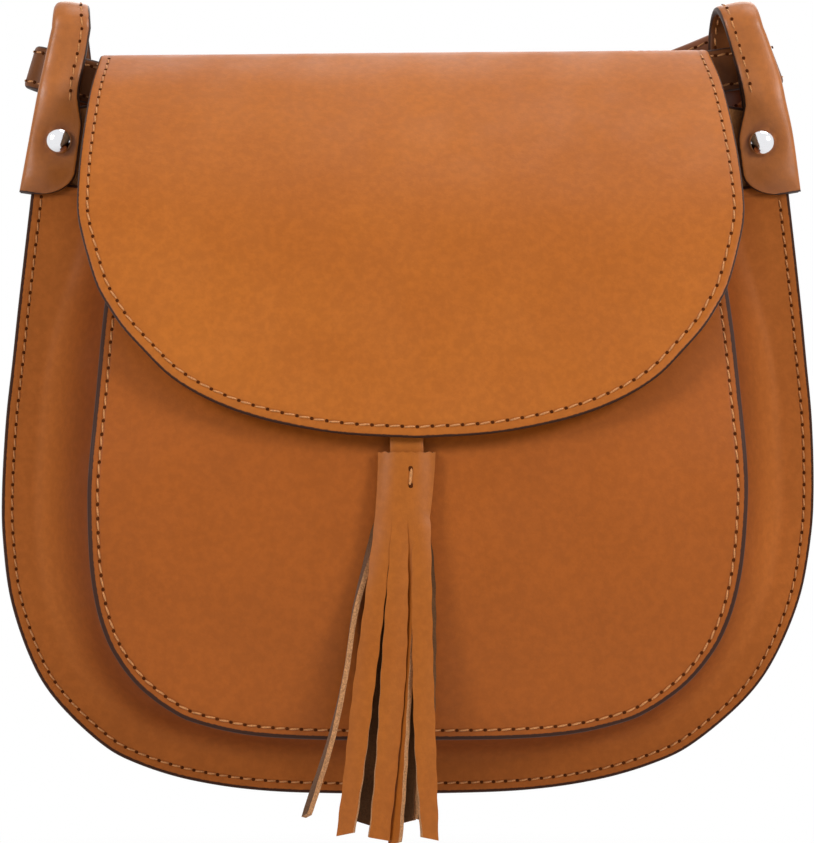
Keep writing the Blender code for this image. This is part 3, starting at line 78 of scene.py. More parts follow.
# Outlines: half width as a share of half the width, drop as a share of the height
BACK_SIDE = (
    (0.919, 0.125), (0.935, 0.197), (0.963, 0.333), (0.978, 0.415), (0.993, 0.497),
    (1.000, 0.592), (0.995, 0.660), (0.971, 0.742), (0.915, 0.823), (0.848, 0.878),
    (0.738, 0.9335), (0.648, 0.9615), (0.500, 0.9865), (0.300, 1.0015), (0.0, 1.006),
)
FRONT_SIDE = (
    (0.924, 0.0), (0.964, 0.214), (0.984, 0.379), (0.998, 0.489), (1.001, 0.562),
    (0.990, 0.672), (0.967, 0.752), (0.934, 0.811), (0.893, 0.855), (0.844, 0.892),
    (0.794, 0.919), (0.728, 0.9465), (0.655, 0.967), (0.499, 0.989), (0.300, 0.998), (0.0, 1.0),
)
FLAP_SIDE = (
    (0.950, 0.0), (0.960, 0.085), (0.974, 0.18), (0.987, 0.30), (0.996, 0.40), (1.0, 0.48),
    (0.998, 0.54), (0.980, 0.60), (0.940, 0.69), (0.900, 0.74), (0.860, 0.78), (0.800, 0.825),
    (0.720, 0.878), (0.620, 0.92), (0.500, 0.953), (0.360, 0.977), (0.200, 0.993), (0.0, 1.0),
)
# Depth as a share of the depth, against drop as a share of the height
FRONT_PROFILE = (
    (0.575, 0.0), (0.671, 0.095), (0.754, 0.196), (0.844, 0.303), (0.946, 0.449),
    (0.986, 0.587), (1.000, 0.745), (0.970, 0.903), (0.928, 1.0),
)
FLAP_PROFILE = (
    (0.0, 0.0), (0.075, 0.012), (0.290, 0.105), (0.523, 0.260), (0.721, 0.450),
    (0.860, 0.680), (0.975, 0.930), (1.0, 1.0),
)
# The flap's tail behind the fold, in millimetres: depth and drop, then half width and length
TAIL_PROFILE = ((-1.95, 13.0), (-1.95, 9.0), (-1.95, 5.0), (-1.9, 2.4), (-1.25, 0.75))
TAIL_SIDE = ((0.0, -12.6), (76.0, -12.6), (84.0, -12.0), (86.5, -9.5), (86.8, -5.0), (88.0, -2.0))
# The back's neck under the fold: half width and drop in millimetres, and the drop of its top
NECK_SIDE = ((94.0, 10.0), (95.8, 14.4), (101.0, 15.8))
BACK_TOP = 3.1 * MM
# Its shoulder: half width as a share of half the back's width, and drop in millimetres
SHOULDER = ((0.86, 17.0), (0.905, 20.5))

# Points in each span of a curve, and the least angle of a sharp corner
CURVE_STEPS = 24
SHARP_DEG = 42.0
# Rings of a panel inwards from its edge, close together where the edge is round
RIM = np.array([0.0, 0.07, 0.22, 0.45, 0.85, 1.6, 3.0, 5.0]) * MM
# Places that the rings of the back, the front and the flap shrink to
BACK_CENTRE = np.array([0.0, 110.0]) * MM
FRONT_CENTRE = np.array([0.0, 128.0]) * MM
FLAP_CENTRE = np.array([0.0, 60.0]) * MM
# Stands for any place too far from a cut edge to show its paint
FAR_FROM_EDGE = 20.0 * MM

# Lengths of the stitches
OUTER_PITCH = 3.7 * MM
FRONT_PITCH = 4.1 * MM
FLAP_PITCH = 4.35 * MM
FOLD_PITCH = 4.0 * MM
STRAP_PITCH = 3.7 * MM


def length_setting(name, default, description):
    """A length in metres that a user can change."""
    return bpy.props.FloatProperty(name=name, default=default, unit="LENGTH", description=description)


def colour_setting(name, default, description):
    """A colour that a user can change."""
    return bpy.props.FloatVectorProperty(
        name=name, default=default, subtype="COLOR", description=description)


class BagSizes(bpy.types.PropertyGroup):
    """Sizes that set the bag's shape."""

    back_width: length_setting("Back width", 0.251, "Widest part of the back panel")
    back_height: length_setting("Back height", 0.227, "From the fold to the bottom")
    neck_width: length_setting("Neck width", 0.188, "Back panel under the fold")
    bottom_lean: length_setting("Bottom lean", 0.0050, "Sag of the foot to one side")
    front_width: length_setting("Front width", 0.192, "Widest part of the front panel")
    front_top: length_setting("Front top", 0.047, "Drop of the front panel's top")
    front_bottom: length_setting("Front bottom", 0.2058, "Drop of its lower edge")
    front_depth: length_setting("Front depth", 0.0835, "Deepest point of the front")
    front_crown: length_setting("Front crown", 0.005, "How far its sides fall back")
    flap_width: length_setting("Flap width", 0.197, "Widest part of the flap")
    flap_depth: length_setting("Flap depth", 0.086, "How far forward its tip lies")
    flap_drop: length_setting("Flap drop", 0.118, "How far down its tip lies")
    flap_crown: length_setting("Flap crown", 0.003, "How far its sides fall back")
    body_leather: length_setting("Body leather", 0.0018, "Thickness of the panels")
    gusset_leather: length_setting("Gusset leather", 0.0016, "Thickness of the gusset")
    lining: length_setting("Lining", 0.0008, "Thickness of the flap's lining")
    seam_inset: length_setting("Seam inset", 0.0031, "Stitches from the edge")
    thread: length_setting("Thread", 0.00039, "Radius of the sewing thread")
    strap_width: length_setting("Strap width", 0.0136, "Width of the strap")
    strap_thickness: length_setting("Strap thickness", 0.0028, "Two sewn layers")
    tassel_leather: length_setting("Tassel leather", 0.0015, "Thickness of its leaves")
    tassel_length: length_setting("Tassel length", 0.111, "Head and fringe")


class BagColours(bpy.types.PropertyGroup):
    """Colours of the leathers, the thread and the metal."""

    grain: colour_setting("Grain", (0.435, 0.125, 0.0150), "Body leather")
    deep: colour_setting("Deep grain", (0.335, 0.086, 0.0090), "Its dark parts")
    # The front panel's colour is the grain made darker: painted shade, as the panel gets less light than
    # the flap
    front: colour_setting("Front", (0.350, 0.088, 0.0098), "Front panel")
    side: colour_setting("Side", (0.470, 0.134, 0.0230), "Gusset")
    strap: colour_setting("Strap", (0.405, 0.122, 0.020), "Strap leather")
    flesh: colour_setting("Flesh side", (0.38, 0.155, 0.050), "Inner face")
    suede: colour_setting("Suede", (0.36, 0.19, 0.09), "Lining of the flap")
    raw: colour_setting("Raw edge", (0.62, 0.29, 0.115), "Cut tassel edges")
    paint: colour_setting("Edge paint", (0.040, 0.013, 0.006), "Dark edges")
    thread: colour_setting("Thread", (0.60, 0.245, 0.072), "Sewing thread")
    # Painted shade: the dark of the awl holes, on beads that stand on the leather; it also darkens the
    # strap's inner face
    hole: colour_setting("Awl hole", (0.085, 0.020, 0.004), "Stitch holes")
    chrome: colour_setting("Chrome", (0.46, 0.46, 0.48), "Rivets and buckle")
    brass: colour_setting("Brass", (0.70, 0.48, 0.20), "Snap")


class BagStage(bpy.types.PropertyGroup):
    """Floor, lamps and camera."""

    floor: length_setting("Floor", -0.30, "Height of the floor")
    key: bpy.props.FloatProperty(
        name="Key lamp", default=17.8, unit="POWER", description="Soft lamps left and right in front")
    fill: bpy.props.FloatProperty(
        name="Fill lamp", default=9.0, unit="POWER", description="Soft lamps above and behind")
    sky: bpy.props.FloatProperty(
        name="Surroundings", default=0.27, description="Strength of the even light all round")


class BagSettings(bpy.types.PropertyGroup):
    """All settings of the bag."""

    sizes: bpy.props.PointerProperty(type=BagSizes)
    colours: bpy.props.PointerProperty(type=BagColours)
    stage: bpy.props.PointerProperty(type=BagStage)


def sizes():
    """The bag's sizes."""
    return bpy.context.scene.leather_bag.sizes


def colours():
    """The bag's colours."""
    return bpy.context.scene.leather_bag.colours


# Curves and shells


def curve_through(points, steps=CURVE_STEPS):
    """Catmull-Rom curve: each span is a cubic set by the two points on either side of it."""
    points = np.array(points, dtype=float)
    padded = np.vstack([2 * points[0] - points[1], points, 2 * points[-1] - points[-2]])
    share = np.linspace(0.0, 1.0, steps, endpoint=False)[:, None]
    spans = []
    for first, second, third, fourth in zip(padded, padded[1:], padded[2:], padded[3:]):
        spans.append(0.5 * (2 * second + (third - first) * share
                            + (2 * first - 5 * second + 4 * third - fourth) * share ** 2
                            + (3 * second - first - 3 * third + fourth) * share ** 3))
    return np.vstack(spans + [points[-1:]])


def travelled(line):
    """Distance along a polyline: the running sum of its steps."""
    return np.concatenate([[0.0], np.cumsum(np.linalg.norm(np.diff(line, axis=0), axis=1))])


def at_lengths(line, lengths, values=None):
    """Points of a polyline, or values given along it, at distances along it."""
    along = travelled(line)
    values = line if values is None else values
    return np.column_stack([np.interp(lengths, along, column) for column in values.T])


def evenly(line, step):
    """Points of a polyline about one step apart."""
    whole = travelled(line)[-1]
    return at_lengths(line, np.linspace(0.0, whole, max(int(round(whole / step)), 2) + 1))


def unit(vectors):
    """Vectors scaled to length one."""
    return vectors / np.maximum(np.linalg.norm(vectors, axis=-1, keepdims=True), 1e-12)


def eased(share):
    """Smooth step: three times the square less twice the cube, between 0 and 1."""
    share = np.clip(share, 0.0, 1.0)
    return share ** 2 * (3 - 2 * share)


def rounded(distance, radius):
    """Height of a quarter circle at a distance from its rim, as a share of its radius."""
    return np.sqrt(1 - (1 - np.clip(distance / radius, 0.0, 1.0)) ** 2)


def inward(line):
    """Normals of a half outline that point into the panel: each step turned a quarter turn."""
    step = unit(np.gradient(line, axis=0))
    return np.column_stack([-step[:, 1], step[:, 0]])


def mirrored(half):
    """Closed outline from a half outline that starts and ends on the middle line."""
    other = half[::-1] * np.array([-1.0, 1.0])
    return np.vstack([half, other[1:-1]])


def edge_distance(places, outline):
    """Distance from flat places to a closed outline: the least distance to any of its steps."""
    start = outline
    step = np.roll(outline, -1, axis=0) - start
    size = np.maximum(np.sum(step ** 2, axis=1), 1e-18)
    nearest = np.full(places.shape[:-1], np.inf)
    for row in range(len(places)):
        offset = places[row][:, None, :] - start[None]
        share = np.clip(np.sum(offset * step, axis=-1) / size, 0.0, 1.0)
        gap = offset - share[..., None] * step
        nearest[row] = np.sqrt(np.min(np.sum(gap ** 2, axis=-1), axis=1))
    return nearest


def dents(side, drop, height, across, down):
    """Soft dents: one wave across times one wave down, each given by its number and phase."""
    return height * np.sin(side * across[0] + across[1]) * np.sin(drop * down[0] + down[1])


def with_normals(surface, side, drop):
    """Points of a surface and its normals: the cross product of its two small differences."""
    step = 0.4 * MM
    point = surface(side, drop)
    across = surface(side + step, drop) - surface(side - step, drop)
    down = surface(side, drop + step) - surface(side, drop - step)
    return point, unit(np.cross(down, across))


def quads(index):
    """Faces between neighbouring rows and columns of a grid of vertex numbers."""
    return np.stack([index[:-1, :-1], index[1:, :-1], index[1:, 1:], index[:-1, 1:]],
                    axis=-1).reshape(-1, 4)


def smooth_mesh(mesh, joined):
    """Join points that coincide where asked, turn the faces outwards, and shade smoothly."""
    shell = bmesh.new()
    shell.from_mesh(mesh)
    if joined:
        bmesh.ops.remove_doubles(shell, verts=shell.verts, dist=0.001 * MM)
    bmesh.ops.recalc_face_normals(shell, faces=shell.faces)
    shell.to_mesh(mesh)
    shell.free()
    mesh.shade_smooth()
    mesh.set_sharp_from_angle(angle=math.radians(SHARP_DEG))


def ring_quads(rows, columns):
    """Faces of a grid of points whose columns close into rings."""
    index = np.arange(rows * columns).reshape(rows, columns)
    return quads(np.hstack([index, index[:, :1]]))


def add_mesh(name, points, faces, slots, materials, marks=None):
    """A closed, smooth object from points in the fold's frame, faces and their material slots."""
    mesh = bpy.data.meshes.new(name)
    mesh.from_pydata((points.reshape(-1, 3) + FOLD).tolist(), [], faces.tolist())
    for material in materials:
        mesh.materials.append(material)
    mesh.polygons.foreach_set("material_index", np.asarray(slots, dtype=np.int32))
    for mark, values in (marks or {}).items():
        layer = mesh.attributes.new(mark, "FLOAT", "POINT")
        layer.data.foreach_set("value", np.asarray(values, dtype=np.float32).ravel())
    smooth_mesh(mesh, True)
    piece = bpy.data.objects.new(name, mesh)
    bpy.context.scene.collection.objects.link(piece)
    return piece


def shell_of(name, top, bottom, edge, materials, wrapped=False, pole=False, marks=None):
    """A closed shell from two grids of points: a top, a bottom and the rim that joins them.

    Wrapped columns close into rings, and with a pole the last row is one point.
    """
    rows, columns = top.shape[:2]
    index = np.arange(rows * columns).reshape(rows, columns)
    grid = np.hstack([index, index[:, :1]]) if wrapped else index
    upper = quads(grid)
    lower = quads(grid)[:, ::-1] + rows * columns
    loops = [grid[0]]
    if not pole:
        loops.append(grid[-1])
    if not wrapped:
        loops.extend([grid[:, 0], grid[:, -1]])
    rim = [np.stack([loop[:-1], loop[1:], loop[1:] + rows * columns, loop[:-1] + rows * columns],
                    axis=-1) for loop in loops]
    rim = np.concatenate(rim)
    faces = np.concatenate([upper, lower, rim])
    slots = np.repeat([0, 1, 2], [len(upper), len(lower), len(rim)])
    points = np.concatenate([top.reshape(-1, 3), bottom.reshape(-1, 3)])
    values = {"edge": np.concatenate([edge.ravel(), edge.ravel()])}
    for mark, value in (marks or {}).items():
        values[mark] = np.concatenate([value.ravel(), value.ravel()])
    return add_mesh(name, points, faces, slots, materials, values)


def panel(name, outline, centre, surface, thickness, materials, rings=22):
    """A leather panel: rings that follow its outline, then shrink to its centre.

    Both faces stand half the thickness off the surface, and meet in a half circle at the edge.
    """
    spoke = outline - centre
    reach = np.linalg.norm(spoke, axis=1, keepdims=True)
    rows = [outline - spoke / reach * inset for inset in RIM]
    for share in np.linspace(1.0, 0.0, rings + 1)[1:]:
        rows.append(centre + (rows[len(RIM) - 1] - centre) * share)
    flat = np.array(rows)
    edge = edge_distance(flat, outline)
    middle, normal = with_normals(surface, flat[..., 0], flat[..., 1])
    half = (thickness / 2 * rounded(edge, thickness / 2))[..., None]
    return shell_of(name, middle + normal * half, middle - normal * half, edge, materials,
                    wrapped=True, pole=True)


def grid_normals(grid):
    """Normals of a grid of points: the cross product of its row and column differences."""
    return unit(np.cross(np.gradient(grid, axis=0), np.gradient(grid, axis=1)))


# Sewing


def seam_line(side, inset, first):
    """Line of stitches inside a half outline, from a distance along it, and its mirror image."""
    line = (side + inward(side) * inset)[travelled(side) > first]
    line[-1, 0] = 0.0
    return np.vstack([line, (line * np.array([-1.0, 1.0]))[-2::-1]])


def seam(surface, line, pitch, lift):
    """Places, directions and normals of stitches at an even pitch along a flat line."""
    line = evenly(line, 0.5 * MM)
    point, normal = with_normals(surface, line[:, 0], line[:, 1])
    whole = travelled(point)[-1]
    count = max(int(round(whole / pitch)), 1)
    at = (np.arange(count) + 0.5) * whole / count
    direction = unit(np.gradient(point, axis=0))
    normal = at_lengths(point, at, normal)
    return at_lengths(point, at) + normal * lift, at_lengths(point, at, direction), normal


def beads(name, rows, length, width, height, sink, slant_deg, material, body, slot):
    """Many small spindles, one on each place: an ellipse that swells and shrinks along its length.

    Each lies along its seam, turned by the slant, and both of its ends dip under the leather.
    """
    place, along, normal = (np.concatenate([row[k] for row in rows]) for k in range(3))
    along = unit(along - normal * np.sum(along * normal, axis=1, keepdims=True))
    across = np.cross(normal, along)
    slant = math.radians(slant_deg)
    along, across = (along * math.cos(slant) + across * math.sin(slant),
                     across * math.cos(slant) - along * math.sin(slant))
    share = np.array([-1.0, -0.86, -0.5, 0.0, 0.5, 0.86, 1.0])
    swell = np.sqrt(np.maximum(1 - share ** 4, 0.0))
    sides = 6
    angle = np.linspace(0.0, math.tau, sides + 1)[:-1]
    ahead = np.repeat(share * length / 2, sides)
    aside = np.outer(swell, np.cos(angle)).ravel() * width / 2
    up = np.outer(swell, np.sin(angle)).ravel() * height / 2 - np.repeat(share ** 2, sides) * sink
    points = (place[:, None] + along[:, None] * ahead[None, :, None]
              + across[:, None] * aside[None, :, None] + normal[:, None] * up[None, :, None])
    cell = ring_quads(len(share), sides)
    first = len(ahead) * np.arange(len(place))
    faces = (cell[None] + first[:, None, None]).reshape(-1, 4)
    return placed(add_mesh(name, points, faces, np.zeros(len(faces)), [material]), body, slot)


def sewing(name, rows, pitch, body, slot="body_leather"):
    """Thread along seams: a slanted stitch on each place, and between them a dark bead as painted shade
    for the awl hole.
    """
    size = sizes().thread
    beads(name + "_thread", rows, 0.90 * pitch, 1.6 * size, 2.0 * size, 1.1 * size, 7.0,
          thread_finish(), body, slot)
    holes = []
    for place, along, normal in rows:
        holes.append((place + along * (pitch / 2), along, normal))
    beads(name + "_holes", holes, 2.7 * size, 2.5 * size, 0.7 * size, 0.0, 0.0,
          hole_finish(), body, slot)


# Finishes


def feed(tree, socket, value):
    """Link an input where a socket is given, and set it otherwise."""
    if isinstance(value, bpy.types.NodeSocket):
        tree.links.new(value, socket)
    else:
        socket.default_value = value


def feed_all(tree, made, **inputs):
    """Feed the inputs of a node by name."""
    for name, value in inputs.items():
        feed(tree, made.inputs[name.replace("_", " ")], value)
    return made


def node(tree, kind, **inputs):
    """A new shader node with its inputs fed by name."""
    return feed_all(tree, tree.nodes.new(kind), **inputs)


def math_node(tree, operation, first, second=0.0, third=0.0):
    """Result of one sum on up to three values or sockets."""
    made = tree.nodes.new("ShaderNodeMath")
    made.operation = operation
    for socket, value in zip(made.inputs, (first, second, third)):
        feed(tree, socket, value)
    return made.outputs[0]


def ramp(tree, value, low, high, start=0.0, end=1.0):
    """A value taken smoothly from one range to another, and held at its ends."""
    made = tree.nodes.new("ShaderNodeMapRange")
    made.interpolation_type = "SMOOTHSTEP"
    tree.links.new(value, made.inputs["Value"])
    for name, number in (("From Min", low), ("From Max", high), ("To Min", start), ("To Max", end)):
        made.inputs[name].default_value = number
    return made.outputs[0]


def noise(tree, scale, detail=3.0, roughness=0.55):
    """Cloudy noise on the piece's own coordinates."""
    place = tree.nodes.new("ShaderNodeTexCoord").outputs["Object"]
    made = node(tree, "ShaderNodeTexNoise", Vector=place, Scale=scale, Detail=detail,
                Roughness=roughness)
    return made.outputs[0]


def mixed(tree, share, first, second, blend="MIX"):
    """Two colours mixed by a share."""
    made = tree.nodes.new("ShaderNodeMix")
    made.data_type = "RGBA"
    made.blend_type = blend
    made.clamp_result = True
    for index, value in ((0, share), (6, first), (7, second)):
        feed(tree, made.inputs[index], value)
    return made.outputs[2]


def mix_shaders(tree, share, first, second, output):
    """Two shaders mixed by a share, on their way to the tree's output."""
    made = tree.nodes.new("ShaderNodeMixShader")
    for socket, value in zip(made.inputs, (share, first.outputs[0], second.outputs[0])):
        feed(tree, socket, value)
    tree.links.new(made.outputs[0], tree.nodes[output].inputs[0])


def rgba(colour, depth=1.0):
    """A colour with full cover, made darker or lighter by a factor."""
    return (colour[0] * depth, colour[1] * depth, colour[2] * depth, 1.0)


def new_finish(name):
    """An empty material, or the one made before: (material, node tree, shader, True if made)."""
    found = bpy.data.materials.get(name)
    if found:
        return found, found.node_tree, None, False
    material = bpy.data.materials.new(name)
    material.use_nodes = True
    tree = material.node_tree
    return material, tree, tree.nodes["Principled BSDF"], True


def mark(tree, name):
    """A value stored on the mesh."""
    made = tree.nodes.new("ShaderNodeAttribute")
    made.attribute_name = name
    return made.outputs["Fac"]


# How much each channel loses in a shaded place
SHADE_FALL = (("Red", 1.0), ("Green", 1.18), ("Blue", 1.4))


def leather_finish(name, grain, deep, painted=0.8, groove=True, roughness=0.45,
                   shaded=0.0, shine=0.17):
    """Smooth tan leather: clouded dye, fine pores, a pressed seam line and painted edges, and painted
    shade where the mesh marks shade.
    """
    material, tree, shader, fresh = new_finish(name)
    if not fresh:
        return material
    clouds = ramp(tree, noise(tree, 11.0, 4.0, 0.6), 0.36, 0.66)
    colour = mixed(tree, clouds, rgba(deep), rgba(grain))
    colour = mixed(tree, 0.55, rgba(grain), colour)
    speck = ramp(tree, noise(tree, 420.0, 5.0, 0.65), 0.35, 0.7, 0.90, 1.04)
    shade = node(tree, "ShaderNodeCombineColor", Red=speck, Green=speck, Blue=speck)
    colour = mixed(tree, 1.0, colour, shade.outputs[0], "MULTIPLY")
    if shaded:
        dark = tree.nodes.new("ShaderNodeCombineColor")
        for channel, fall in SHADE_FALL:
            left = math_node(tree, "MULTIPLY_ADD", mark(tree, "shade"), -shaded * fall, 1.0)
            feed(tree, dark.inputs[channel], left)
        colour = mixed(tree, 1.0, colour, dark.outputs[0], "MULTIPLY")
    edge = mark(tree, "edge")
    burnish = ramp(tree, edge, 0.8 * MM, 6.5 * MM, 0.10, 0.0)
    colour = mixed(tree, burnish, colour, rgba(deep, 0.45))
    place = tree.nodes.new("ShaderNodeTexCoord").outputs["Object"]
    cells = node(tree, "ShaderNodeTexVoronoi", Vector=place, Scale=1150.0)
    pores = ramp(tree, cells.outputs["Distance"], 0.0, 0.55)
    wrinkles = noise(tree, 340.0, 6.0, 0.62)
    height = math_node(tree, "MULTIPLY_ADD", wrinkles, 0.8, math_node(tree, "MULTIPLY", pores, 0.3))
    if groove:
        away = math_node(tree, "ABSOLUTE", math_node(tree, "SUBTRACT", edge, sizes().seam_inset))
        pressed = ramp(tree, away, 0.15 * MM, 0.85 * MM, 1.0, 0.0)
        colour = mixed(tree, math_node(tree, "MULTIPLY", pressed, 0.30), colour,
                       rgba(deep, 0.35))
        height = math_node(tree, "MULTIPLY_ADD", pressed, -1.6, height)
    gloss = ramp(tree, noise(tree, 60.0, 4.0), 0.3, 0.7, roughness - 0.05, roughness + 0.07)
    if painted:
        ragged = math_node(tree, "MULTIPLY_ADD", noise(tree, 900.0, 3.0), 0.45 * MM, edge)
        paint = ramp(tree, ragged, (painted - 0.15) * MM, (painted + 0.12) * MM, 1.0, 0.0)
        colour = mixed(tree, paint, colour, rgba(colours().paint))
        gloss = math_node(tree, "MULTIPLY_ADD", paint, 0.08, gloss)
    bump = node(tree, "ShaderNodeBump", Height=height, Strength=0.32, Distance=0.12 * MM)
    feed_all(tree, shader, Base_Color=colour, Roughness=gloss, Normal=bump.outputs[0],
             Specular_IOR_Level=shine)
    return material


def nap_finish(name, colour, roughness=0.88):
    """Napped flesh side: short fibres that lie in patches."""
    material, tree, shader, fresh = new_finish(name)
    if not fresh:
        return material
    fibres = ramp(tree, noise(tree, 1500.0, 4.0, 0.7), 0.3, 0.7)
    patches = ramp(tree, noise(tree, 70.0, 5.0, 0.6), 0.35, 0.68)
    shade = math_node(tree, "MULTIPLY_ADD", patches, 0.5, math_node(tree, "MULTIPLY", fibres, 0.5))
    tint = mixed(tree, shade, rgba(colour, 0.62), rgba(colour, 1.2))
    edge = ramp(tree, mark(tree, "edge"), 0.85 * MM, 1.1 * MM, 1.0, 0.0)
    tint = mixed(tree, edge, tint, rgba(colours().paint))
    bump = node(tree, "ShaderNodeBump", Height=fibres, Strength=0.5, Distance=0.15 * MM)
    feed_all(tree, shader, Base_Color=tint, Roughness=roughness, Normal=bump.outputs[0],
             Specular_IOR_Level=0.2, Sheen_Weight=0.12)
    return material


def fibre_finish(name, colour, dark, fineness, contrast, roughness, relief=None, shine=0.5):
    """Fibres with darker ones between them, and with a relief of strength and depth if given."""
    material, tree, shader, fresh = new_finish(name)
    if not fresh:
        return material
    fibres = ramp(tree, noise(tree, *fineness), 0.5 - contrast, 0.5 + contrast)
    tint = mixed(tree, fibres, rgba(colour, dark), rgba(colour))
    feed_all(tree, shader, Base_Color=tint, Roughness=roughness, Specular_IOR_Level=shine)
    if relief:
        bump = node(tree, "ShaderNodeBump", Height=fibres, Strength=relief[0], Distance=relief[1])
        feed_all(tree, shader, Normal=bump.outputs[0])
    return material


def raw_finish():
    """Pale, rough cut edge of undyed fibres."""
    return fibre_finish("raw_edge", colours().raw, 0.5, (1900.0, 5.0, 0.7), 0.18, 0.85,
                        (0.7, 0.2 * MM))


def thread_finish():
    """Waxed thread: light strands with darker twists."""
    return fibre_finish("sewing_thread", colours().thread, 0.62, (2600.0, 2.0, 0.5), 0.15, 0.55,
                        (0.5, 0.1 * MM))


def hole_finish():
    """Dark mouth of an awl hole: painted shade on a bead that stands on the leather."""
    return fibre_finish("awl_hole", colours().hole, 0.5, (2200.0, 3.0, 0.55), 0.2, 0.9, shine=0.05)


def metal_finish(name, colour, roughness=0.12):
    """Polished metal with faint polishing marks and small scuffs."""
    material, tree, shader, fresh = new_finish(name)
    if not fresh:
        return material
    smears = ramp(tree, noise(tree, 240.0, 4.0, 0.6), 0.3, 0.72, roughness, roughness + 0.1)
    tone = ramp(tree, noise(tree, 90.0, 3.0), 0.3, 0.7)
    tint = mixed(tree, tone, rgba(colour, 0.86), rgba(colour))
    marks = node(tree, "ShaderNodeBump", Height=noise(tree, 900.0, 3.0), Strength=0.05,
                 Distance=0.05 * MM)
    feed_all(tree, shader, Base_Color=tint, Roughness=smears, Normal=marks.outputs[0],
             Metallic=1.0)
    return material


def body_leather():
    """Grain side of the body's panels."""
    return leather_finish("body_grain", colours().grain, colours().deep)


def flesh_side():
    """Inner face of the body's leather."""
    return nap_finish("flesh_side", colours().flesh)


def strap_leather():
    """Strap leather, darker than the body, with painted shade past the arches and round the rivets."""
    strap = colours().strap
    return leather_finish("strap_grain", strap, rgba(strap, 0.8), 0.8, False, 0.38, 0.5, 0.42)


# Body


def lean(drop):
    """The body's small set to one side, and its sag to the other with the drop's fourth power."""
    return BODY_SET - sizes().bottom_lean * np.clip(drop / sizes().back_height, 0.0, 1.0) ** 4


def back_side():
    """Half outline of the back below its shoulder."""
    return curve_through(np.array(BACK_SIDE) * np.array([sizes().back_width / 2, sizes().back_height]))


def back_outline():
    """Closed outline of the back: its neck under the fold, shoulders, sides and bottom."""
    neck = sizes().neck_width / 2
    upper = [(0.0, BACK_TOP), (neck / 2, BACK_TOP), (neck - 4 * MM, BACK_TOP),
             (neck - 1 * MM, BACK_TOP + 0.6 * MM), (neck, BACK_TOP + 2.5 * MM)]
    shoulder = np.array(SHOULDER) * np.array([sizes().back_width / 2, MM])
    upper = np.vstack([upper, np.array(NECK_SIDE) * MM, shoulder])
    half = np.vstack([curve_through(upper, 6)[:-1], back_side()])
    return mirrored(evenly(half, 2 * MM))


def back_surface(side, drop):
    """The back: flat, with a faint swell of a few tenths of a millimetre."""
    swell = dents(side, drop, 0.25 * MM, (31, 0.0), (27, 0.0))
    return np.stack([side + lean(drop), swell, -drop], axis=-1)


def front_height():
    """Height of the front panel seen from the front."""
    return sizes().front_bottom - sizes().front_top


def front_side():
    """Half outline of the front panel, as half width and drop."""
    size = np.array([sizes().front_width / 2, front_height()])
    return curve_through(np.array(FRONT_SIDE) * size) + np.array([0.0, sizes().front_top])


def front_depth(side, drop):
    """Depth of the front: a profile curve, less a crown that grows with the square of the side."""
    shares = curve_through(FRONT_PROFILE)
    share = (drop - sizes().front_top) / front_height()
    middle = sizes().front_depth * np.interp(share, shares[:, 1], shares[:, 0])
    return middle - sizes().front_crown * (side / (sizes().front_width / 2)) ** 2


def front_surface(side, drop):
    """The front panel: its depth, with soft dents of some tenths of a millimetre."""
    depth = front_depth(side, drop) + dents(side, drop, 0.35 * MM, (47, 1.0), (39, 0.6))
    return np.stack([side + lean(drop), -depth, -drop], axis=-1)


def front_outline():
    """Closed outline of the front panel, with a straight top edge and small round corners."""
    side = front_side()
    corner = np.array([(0.0, 0.0), (side[0, 0] / 2, 0.0), (side[0, 0] - 4 * MM, 0.0),
                       (side[0, 0] - 1 * MM, 0.8 * MM)]) + np.array([0.0, side[0, 1]])
    rest = side[travelled(side) > 4 * MM]
    half = np.vstack([curve_through(np.vstack([corner, rest[:1]]), 8)[:-1], rest])
    return mirrored(evenly(half, 2 * MM))


# The gusset: where it starts as a share of the back's side, points along each half, widths of
# its flanges, reach of the handles that bend its fold, columns in from each edge, and columns of
# the fold between them
GUSSET_START = 0.035
GUSSET_POINTS = 150
REAR_FLANGE = 10.0 * MM
TONGUE_FLANGE = 16.5 * MM
FRONT_FLANGE = 8.0 * MM
FOLD_HANDLE = 13.0 * MM
REAR_COLUMNS = np.array([0.3, 0.37, 0.52, 0.75, 1.1, 2.2, 3.4, 5.0, 7.0, 8.8]) * MM
FRONT_COLUMNS = np.array([7.0, 5.0, 3.0, 1.1, 0.75, 0.52, 0.37, 0.3]) * MM
FOLD_COLUMNS = 26


